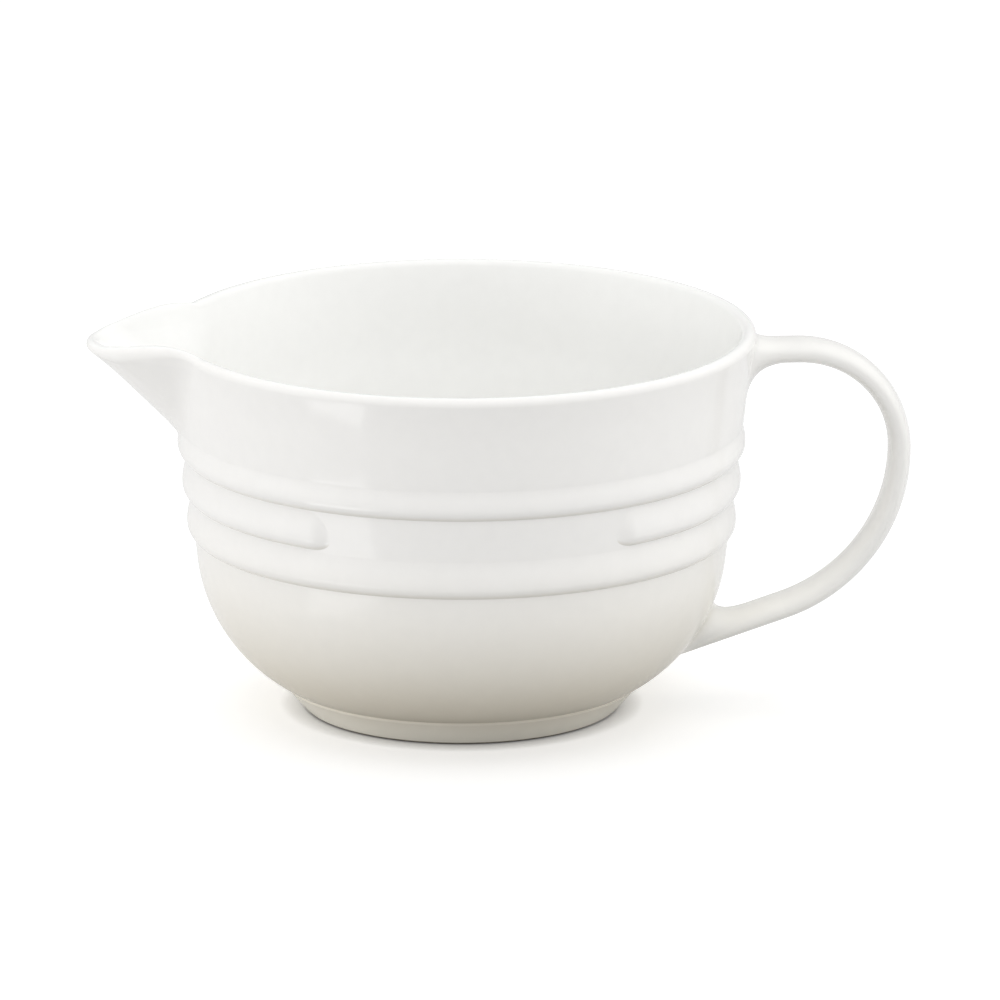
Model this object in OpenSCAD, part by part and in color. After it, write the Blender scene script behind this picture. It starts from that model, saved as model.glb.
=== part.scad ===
// Batter bowl: a stoneware jug-bowl with a beak spout, a strap handle, three raised bands and a foot ring.
// Millimetres. The bowl's axis is Z, the table is z = 0, the spout points to -X and the handle to +X.
// The side that carries the bare panel faces -Y.

/* [Bowl] */
// Height from the table to the top of the rim
bowl_h = 136; // [128:0.5:145]
// Outside diameter over the lip, before its edge is rounded
rim_d = 207.6; // [196:0.2:222]
// Thickness of the wall
wall_t = 5.2; // [4.2:0.1:6.5]
// How far the upper wall leans out from upright, in degrees
wall_lean = 6.6; // [5:0.1:8]
// How far the lip flares out beyond the leaning wall
lip_flare = 1.8; // [1:0.1:2.4]
// Height of the flared lip
lip_h = 18; // [14:1:22]
// Height where the leaning wall turns into the round belly
belly_z = 54; // [48:1:58]
// Diameter where the belly meets the foot ring
heel_d = 127.2; // [120:0.2:136]
// Thickness of the floor
floor_t = 6.5; // [5.5:0.1:8]
// Radius of the inside corner between the floor and the belly
floor_fillet = 18; // [12:1:22]

/* [Foot ring] */
// Height of the foot ring
foot_h = 10; // [8:0.2:12]
// Outside diameter of the face that stands on the table
foot_d = 107; // [100:0.5:110]
// Width of the face that stands on the table
foot_w = 5; // [3.5:0.1:7]
// Rounding of the foot's lower outside edge
foot_edge = 3.2; // [2:0.1:4]
// Step between the belly's lower edge and the top of the foot
foot_step = 0.9; // [0.5:0.1:1.5]
// Height of the upright edge below that step
foot_lip = 1.2; // [0.8:0.1:2]
// Chamfer of the foot's lower inside edge
foot_chamfer = 1.1; // [0.5:0.1:2]
// Draft of the foot's inside
foot_draft = 2; // [1:0.1:3]

/* [Bands] */
// Height of the lower edge of the lowest band
band_z = 62.6; // [59:0.2:66]
// Distance from one band to the next
band_pitch = 14.3; // [13:0.1:14.8]
// Bare groove between one band and the next
band_groove = 0.4; // [0.3:0.1:1]
// How far a band stands out from the wall
band_bulge = 1.5; // [1:0.1:2]
// Angle of the bare panel in the middle band, between the band's round ends
panel_angle = 62.6; // [40:0.2:90]

/* [Spout] */
// Reach of the spout's tip beyond the lip
spout_reach = 27.7; // [23.2:0.5:32.2]
// How far the tip lies below the rim
spout_droop = 1.5; // [0:0.1:4]
// How far the rim rises at the spout's shoulders
spout_rise = 2.2; // [0:0.1:4]
// How far the spout's edge curls out beyond its straight underside
spout_curl = 1.6; // [0.5:0.1:2.5]
// Height of that curl
curl_h = 12; // [8:0.5:16]
// Slope of the spout's underside from upright, in degrees
spout_slope = 45; // [40:0.5:50]
// Height of the lowest point of the notch that the spout is set into
spout_z = 95; // [92:0.5:99]
// Rise of the notch's lower edges away from that point, in degrees
seat_slope = 14; // [10:0.5:18]
// Radius of the nose seen from above
nose_r = 27.5; // [22:0.5:32]
// Angle between one side of the spout and its middle line, in degrees
spout_flank = 30; // [25:0.5:35]
// Thickness of the spout's wall
spout_t = 4.4; // [3.8:0.1:5.2]
// Softness of the shoulders where the spout leaves the bowl
shoulder_blend = 9; // [5:0.5:12]
// Softness of the shoulders inside the bowl
inner_blend = 14; // [10:0.5:18]
// Height over which the spout's underside eases out of the wall
root_blend = 7; // [5:0.5:9]
// Height over which the spout's inside eases out of the wall
inner_root = 9; // [7:0.5:11]
// Half the angle of the wall that the spout replaces
seat_angle = 40; // [37:0.5:46]

/* [Handle] */
// Reach of the handle's outside beyond the lip
handle_reach = 54; // [48.2:0.2:62.2]
// Depth of the strap's middle below the rim, along its level top run
handle_drop = 9.4; // [8.6:0.2:12]
// Width of the strap
handle_w = 20; // [17:0.5:24]
// Thickness of the strap
handle_t = 7.9; // [7:0.1:9]
// Radius of the upper bend, to the strap's middle
upper_bend_r = 35.4; // [31:0.2:38]
// Radius of the lower bend, to the strap's middle
lower_bend_r = 60; // [56:0.5:64]
// Shortest level run between the wall and the upper bend
upper_run = 13; // [9:0.5:16]
// Height where the strap's middle meets the belly
root_z = 22; // [20:0.2:26]
// Fall of the lower run towards the bowl, in degrees
lower_fall = 19; // [15:0.5:23]
// Flare of the upper joint below the strap
upper_flare = 14; // [8:0.5:15]
// Flare of the lower joint
lower_flare = 6; // [4:0.5:7]

/* [Hidden] */
$fn = 120;
rim_r = rim_d / 2;
bands = 3;
band_top = band_z + bands * band_pitch;
lip_run = min(lip_h, bowl_h - band_top);
heel_r = heel_d / 2;
foot_r = foot_d / 2;
floor_z = foot_h + floor_t;
wall_h = wall_t / cos(wall_lean);
out_dir = [cos(wall_lean), -sin(wall_lean)];
belly_top = [line_r(belly_z), belly_z];
heel = [heel_r, foot_h];
belly_chord = heel - belly_top;
belly_r = belly_chord * belly_chord / (-2 * belly_chord * out_dir);
belly_c = belly_top - belly_r * out_dir;
inner_r = belly_r - wall_t;
fillet_c = [belly_c.x + sqrt(pow(inner_r - floor_fillet, 2) - pow(belly_c.y - floor_z - floor_fillet, 2)),
            floor_z + floor_fillet];
fillet_a = atan2(fillet_c.y - belly_c.y, fillet_c.x - belly_c.x);
band_h = band_pitch - band_groove;
band_chord = band_h / cos(wall_lean);
band_r = (pow(band_chord / 2, 2) + pow(band_bulge, 2)) / (2 * band_bulge);
tip_r = rim_r + spout_reach;
tip_z = bowl_h - spout_droop - wall_t / 2;
inner_nose = nose_r - 1.2 * spout_t;
seat_x = 2 * tip_r;
seat_h = 2 * bowl_h;
joint_top = bowl_h - 0.62 * wall_t;
upper_shares = [0.5, 1];
lower_shares = [2.4, 0.8];
touch = 0.05;

// The leaning wall, without the lip's flare
function line_r(z) = rim_r - lip_flare - (bowl_h - z) * tan(wall_lean);

// The flare that the lip adds
function lip(z) = lip_flare * pow(max(0, z - bowl_h + lip_run) / lip_run, 2);

// Outside radius of the bowl at a height
function wall_r(z) =
    z >= belly_z ? line_r(z) + lip(z)
                 : belly_c.x + sqrt(max(1, pow(belly_r, 2) - pow(z - belly_c.y, 2)));

// Points of an arc
function arc(c, r, a, b, n) =
    [for (i = [0 : n]) let (t = a + (b - a) * i / n) c + r * [cos(t), sin(t)]];

function reversed(list) = [for (i = [len(list) - 1 : -1 : 0]) list[i]];

function step01(t) = let (c = max(0, min(1, t))) c * c * (3 - 2 * c);

// Larger of two values with a soft change-over of width k
function soft_max(a, b, k) = max(a, b) + pow(max(k - abs(a - b), 0), 2) / (4 * k);

// Middle height of a band, counted 0, 1, 2 from the lowest
function band_mid(i) = band_z + (i + 0.5) * band_pitch;

// Middle of the circle that a band's face follows
function band_c(i) = [line_r(band_mid(i)), band_mid(i)] - (band_r - band_bulge) * out_dir;

// How far the upper band stands out at a height
function bulge(z) =
    let (s = (z - band_mid(bands - 1)) / cos(wall_lean))
    abs(s) < band_chord / 2 ? sqrt(band_r * band_r - s * s) - band_r + band_bulge : 0;

// Reach of the spout's underside along its middle line at a height: a slope that curls out at its edge
function ridge_r(z) =
    let (down = tip_z - z, curl = max(0, 1 - max(0, down) / curl_h))
    tip_r - down * tan(spout_slope) - spout_curl * (1 - curl * curl);

// Outline of a beak from above, as a radius at an angle p from its middle line
function beak_r(p, tip, r) =
    let (c = tip - r, q = abs(p))
    let (turn = atan2(r * cos(spout_flank), c + r * sin(spout_flank)))
    q < turn ? c * cos(q) + sqrt(max(0, r * r - pow(c * sin(q), 2)))
             : (c * sin(spout_flank) + r) / sin(spout_flank + q);

// Outside of the wall with its upper band, and inside of the wall
function plain_out(z) = wall_r(z) + bulge(z);

function plain_in(z) = wall_r(z) - wall_h;

// Height of the notch's lower edge at an angle p from the spout's middle line, on the outside and the inside
function seat_out(p, z, n) =
    n == 0 ? z : seat_out(p, spout_z + tan(seat_slope) * plain_out(z) * sin(abs(p)), n - 1);

function seat_in(p, z, n) =
    n == 0 ? z : seat_in(p, spout_z + tan(seat_slope) * plain_in(z) * sin(abs(p)), n - 1);

// A beak blended into a plain wall of radius base, with a softness that ends within the notch
function beak_on(base, p, tip, r, k) =
    let (room = max(touch, base - beak_r(seat_angle, tip, r)))
    soft_max(base, beak_r(p, tip, r), min(k, room));

// Outside and inside of the wall across the spout at a height: it leaves the plain wall above the notch
function spout_out(p, z) =
    let (base = plain_out(z), ramp = step01((z - seat_out(p, spout_z, 5)) / root_blend))
    base + ramp * (beak_on(base, p, ridge_r(z), nose_r, shoulder_blend) - base);

function spout_in(p, z) =
    let (base = plain_in(z), tip = ridge_r(z) - spout_t / cos(spout_slope))
    let (ramp = step01((z - seat_in(p, spout_z, 5)) / inner_root))
    base + ramp * (beak_on(base, p, tip, inner_nose, inner_blend) - base);

// Height of the rim along the spout
function spout_top(p) =
    let (z = bowl_h - wall_t / 2, wall = wall_r(z))
    let (q = max(0, min(1, (spout_out(p, z) - wall) / (tip_r - wall))))
    bowl_h + spout_rise * sin(180 * sqrt(q)) - spout_droop * q * q;

// Rounded rim between an outside and an inside radius, turned to the slope of the wall below it
function rim(out, in, tilt, top) =
    let (half = (out - in) / 2 * cos(tilt))
    arc([(out + in) / 2, top - half], half, -tilt, 180 - tilt, 10);

// Rim of the plain wall
function wall_rim() =
    let (z = bowl_h - wall_t / 2)
    rim(wall_r(z), wall_r(z) - wall_h, atan(wall_r(z) - wall_r(z - 1)), bowl_h);

// Section of the wall across the spout at an angle p, from the notch up, over the rim and down inside
function spout_section(p) =
    let (top = spout_top(p), z = top - wall_t / 2)
    let (edge = rim(spout_out(p, z), spout_in(p, z), atan(spout_out(p, z) - spout_out(p, z - 1)), top))
    let (low = seat_out(p, spout_z, 5), rise = edge[0].y - low)
    let (in_low = seat_in(p, spout_z, 5), in_rise = edge[len(edge) - 1].y - in_low)
    concat([for (j = [0 : 13]) let (h = low + rise * j / 14) [spout_out(p, h), h]],
           edge,
           [for (j = [13 : -1 : 0]) let (h = in_low + in_rise * j / 14) [spout_in(p, h), h]]);

// Section of the bowl from the middle of its underside, up the outside, over the rim and down inside
function body_section() =
    let (low = atan2(heel.y - belly_c.y, heel.x - belly_c.x))
    let (lip_z = bowl_h - lip_run, edge = wall_rim())
    let (steps = [for (j = [0 : 7]) lip_z + (edge[0].y - lip_z) * j / 8])
    let (down = [for (j = [7 : -1 : 0]) lip_z + (edge[len(edge) - 1].y - lip_z) * j / 8])
    concat([[0, foot_h]],
           arc(belly_c, belly_r, low, -wall_lean, 28),
           [for (z = steps) [wall_r(z), z]],
           edge,
           [for (z = down) [wall_r(z) - wall_h, z]],
           arc(belly_c, inner_r, -wall_lean, fillet_a, 24),
           [for (i = [1 : 12]) let (a = fillet_a + (-90 - fillet_a) * i / 12)
               fillet_c + floor_fillet * [cos(a), sin(a)]],
           [[0, floor_z]]);

// Section of the foot ring, whose outside runs tangent to its rounded lower edge
function foot_section() =
    let (c = [foot_r, foot_edge], top = [heel_r - foot_step, foot_h - foot_lip])
    let (in_r = foot_r - foot_w)
    let (d = top - c, a = atan2(d.y, d.x) - acos(min(1, foot_edge / norm(d))))
    concat([[in_r - foot_chamfer - foot_draft, foot_h], [in_r - foot_chamfer, foot_chamfer], [in_r, 0]],
           arc(c, foot_edge, -90, a, 8),
           [top, [heel_r - foot_step, foot_h]]);

// Section of the strap in width and thickness, in whole microns so that its two bends meet exactly
function micron(v) = round(v * 1000) / 1000;

function oval(size, v) = micron(size / 2 * sign(v) * pow(abs(v), 0.84));

function strap(n) =
    [for (i = [0 : n - 1]) [oval(handle_w, cos(360 * i / n)), oval(handle_t, sin(360 * i / n))]];

// Heights and turning points of the strap's middle line: each bend is limited by the room that it has
top_z = micron(bowl_h - handle_drop);
mid_x = micron(rim_r + handle_reach - handle_t / 2);
bend_r = micron(min(upper_bend_r, mid_x - wall_r(top_z) - upper_run));
bend_x = mid_x - bend_r;
mid_z = top_z - bend_r;
root_x = wall_r(root_z);
low_turn = 90 - lower_fall;
turn_z = root_z + (mid_x - root_x) * tan(lower_fall);
low_bend_r = micron(min(lower_bend_r, (mid_z - turn_z) / tan(low_turn / 2)));
low_z = micron(turn_z + low_bend_r * tan(low_turn / 2));
low_end = [mid_x - low_bend_r * (1 - cos(low_turn)), low_z - low_bend_r * sin(low_turn)];
low_dir = [cos(lower_fall), sin(lower_fall)];
low_up = [-sin(lower_fall), cos(lower_fall)];
low_run = norm(low_end - [root_x, root_z]);
upper_limit = min(upper_flare, bend_x - wall_r(top_z) - handle_t / 5);
lower_limit = min(lower_flare, (low_run - handle_t) / lower_shares[0]);
upper_end = min(band_top, top_z - handle_t / 2) + touch;
lower_end = foot_h + foot_step;

// Where a point of the wall lies at a distance y from the middle plane and a height z
function wall_x(y, z) = sqrt(max(1, pow(wall_r(z) + touch, 2) - y * y));

// Where a line that runs in along a direction d from the point p meets the wall, at a distance y from the
// middle plane
function meet(p, d, y, x, n) = n == 0 ? x : meet(p, d, y, wall_x(y, p.y + (x - p.x) * d.y / d.x), n - 1);

function meet_point(p, d, y) = let (x = meet(p, d, y, wall_r(p.y), 14)) [x, y, p.y + (x - p.x) * d.y / d.x];

// Point of a curve that leaves a along the way to b and comes to c from b
function curve(a, b, c, t) = (1 - t) * (1 - t) * a + 2 * t * (1 - t) * b + t * t * c;

// One line of a joint's skin from the strap's flat end to the wall: a straight run, then a curve onto the
// wall. The shares are the parts of the flare above and below the strap, and it ends at the height low
function joint_line(s, o, d, u, flare, shares, low) =
    let (p = o + s.y * u, m = meet_point(p, d, s.x), side = [s.x / handle_w, s.y / handle_t])
    let (f = flare * (shares[1] + (shares[0] - shares[1]) * step01(0.5 + side.y)), w = side / norm(side))
    let (lean = atan(wall_r(m.z + 0.5) - wall_r(m.z - 0.5)))
    let (z = max(low, min(m.z + f * w.y * cos(lean), joint_top)), y = m.y + f * w.x / 2)
    let (foot = [wall_x(y, z), y, z], start = m + f * [d.x, 0, d.y])
    concat([[p.x, s.x, p.y]], [for (i = [0 : 7]) curve(start, m, foot, i / 7)]);

// Solid between the strap's flat end and the wall: o is the middle of the end, d runs away from the bowl
module joint(o, d, u, flare, shares, low) {
    n = 36;
    lines = [for (s = strap(n)) joint_line(s, o, d, u, flare, shares, low)];
    rows = len(lines[0]);
    hub = meet_point(o, d, 0);
    inward = [for (k = [1 : 3]) for (i = [0 : n - 1])
        let (e = lines[i][rows - 1], y = e.y * (1 - k / 4), z = hub.z + (e.z - hub.z) * (1 - k / 4))
        [wall_x(y, z), y, z]];
    skin = [for (j = [0 : rows - 1]) for (i = [0 : n - 1]) lines[i][j]];
    points = concat(skin, inward, [hub]);
    last = rows + 2;
    sides = [for (j = [0 : last - 1]) for (i = [0 : n - 1]) let (k = (i + 1) % n)
        each [[j * n + i, j * n + k, (j + 1) * n + k], [j * n + i, (j + 1) * n + k, (j + 1) * n + i]]];
    hub_fan = [for (i = [0 : n - 1]) [last * n + i, last * n + (i + 1) % n, len(points) - 1]];
    polyhedron(points, concat([[for (i = [n - 1 : -1 : 0]) i]], sides, hub_fan));
}

// Triangles across a flat end of the spout's wall, between its points j and j + 1 outside and k and k - 1
// inside
function end_pair(o, j, k) =
    j + 1 == k - 1 ? [[o + j, o + k, o + j + 1]] : [[o + j, o + k, o + k - 1], [o + j, o + k - 1, o + j + 1]];

function reversed_faces(faces) = [for (f = faces) reversed(f)];

// The notch of wall that the spout takes the place of
module spout_seat() {
    rise = seat_x * tan(seat_slope);
    side = seat_x * tan(seat_angle);
    intersection() {
        linear_extrude(seat_h)
            polygon([[0, 0], [-seat_x, side], [-seat_x, -side]]);
        translate([-seat_x, 0, spout_z])
            rotate([90, 0, 90])
                linear_extrude(seat_x)
                    polygon([[0, 0], [seat_x, rise], [seat_x, seat_h], [-seat_x, seat_h], [-seat_x, rise]]);
    }
}

// The sector of the upper band that the handle's upper joint takes the place of, on a bowl whose joint
// reaches down to that band
module joint_room() {
    half = atan((handle_w + upper_limit) / 2 / wall_r(top_z)) + touch;
    if (upper_end < band_top)
        translate([0, 0, upper_end - 2 * touch])
            linear_extrude(seat_h)
                polygon([[0, 0], [seat_x, -seat_x * tan(half)], [seat_x, seat_x * tan(half)]]);
}

// Everything inside the leaning wall, over the height of a band's circle
module wall_side(i) {
    low = band_c(i).y - band_r - 1;
    high = band_c(i).y + band_r + 1;
    polygon([[0, low], [line_r(low), low], [line_r(high), high], [0, high]]);
}

module band_section(i) {
    difference() {
        translate(band_c(i))
            circle(band_r);
        wall_side(i);
    }
}

module bowl_body() {
    color([0.93, 0.92, 0.88])
        difference() {
            rotate_extrude()
                polygon(body_section());
            spout_seat();
        }
}

module pour_spout() {
    cols = 48;
    sections = [for (i = [0 : cols]) spout_section(seat_angle * (2 * i / cols - 1))];
    m = len(sections[0]);
    points = [for (i = [0 : cols]) let (p = seat_angle * (2 * i / cols - 1)) for (q = sections[i])
        [-q.x * cos(p), q.x * sin(p), q.y]];
    sides = [for (i = [0 : cols - 1]) for (j = [0 : m - 1]) let (k = (j + 1) % m)
        each [[i * m + j, i * m + k, (i + 1) * m + k], [i * m + j, (i + 1) * m + k, (i + 1) * m + j]]];
    half = (m - 1) / 2;
    ends = [for (j = [0 : half - 1])
        each concat(end_pair(0, j, m - 1 - j), reversed_faces(end_pair(cols * m, j, m - 1 - j)))];
    color([0.96, 0.96, 0.93])
        polyhedron(points, concat(sides, ends));
}

module foot_ring() {
    color([0.80, 0.77, 0.69])
        rotate_extrude()
            polygon(foot_section());
}

module upper_band() {
    color([0.95, 0.94, 0.90])
        difference() {
            rotate_extrude()
                band_section(bands - 1);
            spout_seat();
            joint_room();
        }
}

module middle_band() {
    middle = 1;
    end = panel_angle / 2 + asin(band_h / 2 / line_r(band_mid(middle)));
    c = band_c(middle);
    color([0.95, 0.94, 0.90])
        difference() {
            union() {
                rotate([0, 0, -90 + end])
                    rotate_extrude(angle = 360 - 2 * end)
                        translate(c)
                            circle(band_r);
                for (side = [-1, 1])
                    rotate([0, 0, -90 + side * end])
                        translate([c.x, 0, c.y])
                            sphere(band_r);
            }
            rotate_extrude()
                wall_side(middle);
        }
}

module lower_band() {
    color([0.95, 0.94, 0.90])
        rotate_extrude()
            band_section(0);
}

module handle() {
    shape = strap(36);
    color([0.96, 0.96, 0.94]) {
        translate([bend_x, 0, mid_z])
            rotate([90, 0, 0])
                rotate_extrude(angle = 90)
                    polygon([for (s = shape) [bend_r + s.y, s.x]]);
        if (mid_z > low_z)
            translate([mid_x, 0, low_z])
                linear_extrude(mid_z - low_z)
                    polygon([for (s = shape) [s.y, s.x]]);
        translate([mid_x - low_bend_r, 0, low_z])
            rotate([90, 0, 0])
                rotate_extrude(angle = -low_turn)
                    polygon([for (s = shape) [low_bend_r + s.y, s.x]]);
    }
}

module upper_handle_joint() {
    color([0.94, 0.94, 0.91])
        joint([bend_x, top_z], [1, 0], [0, 1], upper_limit, upper_shares, upper_end);
}

module lower_handle_joint() {
    color([0.90, 0.89, 0.84])
        joint(low_end, low_dir, low_up, lower_limit, lower_shares, lower_end);
}

bowl_body();
pour_spout();
foot_ring();
upper_band();
middle_band();
lower_band();
handle();
upper_handle_joint();
lower_handle_joint();
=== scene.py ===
"""A glazed stoneware batter bowl: round body, beak spout, strap handle, three raised bands and a foot ring.

The frame is the part's own: metres, the bowl's axis is Z, the table is z = 0, the spout points to -X, the
handle to +X and the bare panel to -Y. Sizes below are in millimetres and become metres as meshes are made.
"""
import logging
import math
from dataclasses import dataclass, field
from enum import Enum
from typing import Optional, Sequence, Union

import bmesh
import bpy
import numpy as np
from mathutils import Matrix, Vector


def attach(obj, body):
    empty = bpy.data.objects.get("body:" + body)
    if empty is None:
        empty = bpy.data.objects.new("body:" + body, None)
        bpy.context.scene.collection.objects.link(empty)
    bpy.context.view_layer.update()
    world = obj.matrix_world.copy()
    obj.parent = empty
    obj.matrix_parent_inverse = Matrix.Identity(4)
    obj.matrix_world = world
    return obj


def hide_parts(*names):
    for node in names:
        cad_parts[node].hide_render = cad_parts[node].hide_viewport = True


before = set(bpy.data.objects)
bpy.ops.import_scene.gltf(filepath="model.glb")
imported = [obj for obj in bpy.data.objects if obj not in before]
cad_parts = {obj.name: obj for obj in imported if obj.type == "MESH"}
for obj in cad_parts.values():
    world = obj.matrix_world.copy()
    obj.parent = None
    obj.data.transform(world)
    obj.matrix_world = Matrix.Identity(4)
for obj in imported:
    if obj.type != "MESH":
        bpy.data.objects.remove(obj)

MM = 0.001
# Points of one piece that are nearer than this, in millimetres, are one point
WELD = 0.005
# Soft noise lies mostly in the first span, and a share in the second
NOISE_SPAN = (0.3, 0.7)
UNIT = (0.0, 1.0)
LOG = logging.getLogger("batter_bowl")
Colour = tuple[float, float, float]
Number = Union[float, "Field"]


class Slot(Enum):
    """The material slots of the part."""

    CREAM = "cream_glaze"
    HANDLE = "handle_glaze"
    FOOT = "foot_stoneware"


def linear(colour: Colour) -> tuple[float, float, float, float]:
    """Turns a display colour into scene light.

    Args:
        colour: red, green and blue from 0 to 255 as a screen shows them.

    Returns:
        The same colour as linear red, green, blue and alpha.
    """
    parts = [c / 255.0 for c in colour]
    return tuple(c / 12.92 if c <= 0.04045 else ((c + 0.055) / 1.055) ** 2.4 for c in parts) + (1.0,)


def step01(t: np.ndarray) -> np.ndarray:
    """Eases from 0 to 1 as t goes from 0 to 1."""
    c = np.clip(t, 0.0, 1.0)
    return c * c * (3.0 - 2.0 * c)


def soft_max(a: np.ndarray, b: np.ndarray, k: np.ndarray) -> np.ndarray:
    """The larger of a and b, with a soft change-over of width k."""
    return np.maximum(a, b) + np.maximum(k - np.abs(a - b), 0.0) ** 2 / (4.0 * k)


def arc(centre: Sequence[float], radius: float, start: float, end: float, steps: int) -> np.ndarray:
    """Points of an arc in the section plane.

    Args:
        centre: radius and height of the arc's middle.
        radius: the arc's radius.
        start: first angle in degrees.
        end: last angle in degrees.
        steps: number of equal steps.

    Returns:
        An array of steps + 1 rows of radius and height.
    """
    a = np.radians(np.linspace(start, end, steps + 1))
    return np.stack([centre[0] + radius * np.cos(a), centre[1] + radius * np.sin(a)], axis=1)


@dataclass(frozen=True)
class BowlForm:
    """The shapes that all pieces share: wall, belly, bands and spout, in millimetres and radians.

    Args:
        rim_r: outside radius of the rim.
        bowl_h: height of the rim.
        wall_t: thickness of the wall.
        lean: lean of the wall.
        lip_flare: how far the lip stands out from the leaning wall.
        lip_h: height over which it does so.
        belly_z: height where the belly's arc meets the leaning wall.
        heel_r: radius of the belly's lower edge.
        foot_h: height of that edge.
        floor_z: height of the floor inside.
        floor_fillet: rounding between the floor and the belly inside.
        band_z: height where the lowest band's share of the wall starts.
        band_pitch: distance from band to band.
        band_groove: width of the groove between two bands.
        band_bulge: how far a band stands out.
        band_crest: how far its crest lies below its middle.
        band_edge: how full its lower flank is, less for fuller.
        band_sink: how far its edges lie below the wall.
        shoulder: length of the upper band's soft top flank.
        wall_raise: how far the wall above the bands stands out from the wall between them.
        raise_drop: how far below the upper band's middle that starts.
        raise_h: height over which it does so.
        spout_reach: reach of the spout beyond the rim.
        spout_droop: how far the spout's tip lies below the rim.
        spout_rise: how far the spout's rim climbs on its way to the tip.
        spout_curl: how far the tip curls outwards.
        curl_h: height of that curl.
        spout_slope: slope of the spout's underside.
        spout_z: height of the lower end of the spout's seat.
        seat_slope: climb of the seat's edge to either side.
        seat_angle: angle from the spout's middle line to the seat's side.
        nose_r: radius of the spout's nose from above.
        flank: angle from the spout's middle line to its flank.
        spout_t: thickness of the spout.
        nose_wall: thickness round its nose, as a share of that.
        shoulder_blend: softness of the change from wall to flank outside.
        inner_blend: the same inside.
        root_blend: height over which the spout grows out of the wall outside.
        inner_root: the same inside.
    """

    rim_r: float = 103.8
    bowl_h: float = 136.0
    wall_t: float = 5.2
    lean: float = math.radians(6.4)
    lip_flare: float = 1.8
    lip_h: float = 18.0
    belly_z: float = 54.0
    heel_r: float = 63.6
    foot_h: float = 10.0
    floor_z: float = 16.5
    floor_fillet: float = 18.0
    band_z: float = 62.6
    band_pitch: float = 14.3
    band_groove: float = 0.4
    band_bulge: float = 2.1
    band_crest: float = 3.0
    band_edge: float = 0.85
    band_sink: float = 0.04
    shoulder: float = 7.2
    wall_raise: float = 0.6
    raise_drop: float = 2.0
    raise_h: float = 5.0
    spout_reach: float = 27.7
    spout_droop: float = 2.2
    spout_rise: float = 2.0
    spout_curl: float = 1.6
    curl_h: float = 12.0
    spout_slope: float = math.radians(45.0)
    spout_z: float = 95.0
    seat_slope: float = math.radians(14.0)
    seat_angle: float = math.radians(40.0)
    nose_r: float = 25.5
    flank: float = math.radians(30.0)
    spout_t: float = 4.4
    nose_wall: float = 1.2
    shoulder_blend: float = 5.0
    inner_blend: float = 14.0
    root_blend: float = 7.0
    inner_root: float = 9.0

    @property
    def wall_h(self) -> float:
        """Thickness of the wall, measured level."""
        return self.wall_t / math.cos(self.lean)

    @property
    def belly(self) -> tuple[float, float, float]:
        """Radius and height of the middle of the belly's arc, and the arc's radius."""
        out = np.array([math.cos(self.lean), -math.sin(self.lean)])
        top = np.array([self.line(self.belly_z), self.belly_z])
        chord = np.array([self.heel_r, self.foot_h]) - top
        radius = float(chord @ chord / (-2.0 * (chord @ out)))
        centre = top - radius * out
        return float(centre[0]), float(centre[1]), radius

    @property
    def inner_nose_r(self) -> float:
        """Radius of the spout's nose inside, from above."""
        return self.nose_r - self.nose_wall * self.spout_t

    @property
    def band_half(self) -> float:
        """Half the height of a band, measured along the leaning wall."""
        return (self.band_pitch - self.band_groove) / math.cos(self.lean) / 2.0

    def band_mid(self, index: int) -> float:
        """Middle height of a band, counted 0, 1, 2 from the lowest."""
        return self.band_z + (index + 0.5) * self.band_pitch

    def line(self, z: np.ndarray) -> np.ndarray:
        """Radius of the leaning wall without its lip at the height z."""
        return self.rim_r - self.lip_flare - (self.bowl_h - z) * math.tan(self.lean)

    def wall(self, z: np.ndarray) -> np.ndarray:
        """Outside radius of the bowl at the height z."""
        z = np.asarray(z, dtype=float)
        climb = np.maximum(0.0, z - self.bowl_h + self.lip_h) / self.lip_h
        lip = (self.lip_flare - self.wall_raise) * climb ** 2
        lip = lip + self.wall_raise * step01((z - self.band_mid(2) + self.raise_drop) / self.raise_h)
        c_r, c_z, radius = self.belly
        low = c_r + np.sqrt(np.maximum(1.0, radius ** 2 - (z - c_z) ** 2))
        return np.where(z >= self.belly_z, self.line(z) + lip, low)

    def wall_normal(self, y: np.ndarray, z: np.ndarray) -> np.ndarray:
        """Outward direction of the wall on the handle's side.

        Args:
            y: distances from the middle plane.
            z: heights.

        Returns:
            One unit vector for each point.
        """
        r, near = self.wall(z), 0.2
        slope = self.wall(z + near) / (2.0 * near) - self.wall(z - near) / (2.0 * near)
        n = np.stack([np.sqrt(np.maximum(1.0, r * r - y * y)) / r, y / r, -slope], axis=-1)
        return n / np.linalg.norm(n, axis=-1, keepdims=True)

    def upper_band_rise(self, z: np.ndarray) -> np.ndarray:
        """How far the upper band stands out from the wall at the height z."""
        d = 0.0 * z
        for _ in range(4):
            v = (z - self.band_mid(2) + d * math.sin(self.lean)) / math.cos(self.lean) + self.band_crest
            top = 0.5 + 0.5 * np.cos(math.pi * np.clip(v / self.shoulder, 0.0, 1.0))
            low = np.maximum(0.0, 1.0 - (v / (self.band_half - self.band_crest)) ** 2) ** self.band_edge
            high = self.wall_raise + (self.band_bulge - self.wall_raise) * top
            d = np.where(v > 0.0, high, self.band_bulge * low) - self.band_sink
        return np.maximum(0.0, self.line(z) + d / math.cos(self.lean) - self.wall(z))

    def plain_out(self, z: np.ndarray) -> np.ndarray:
        """Outside radius of the wall with its upper band at the height z."""
        return self.wall(z) + self.upper_band_rise(z)

    def plain_in(self, z: np.ndarray) -> np.ndarray:
        """Inside radius of the wall at the height z."""
        return self.wall(z) - self.wall_h

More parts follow.
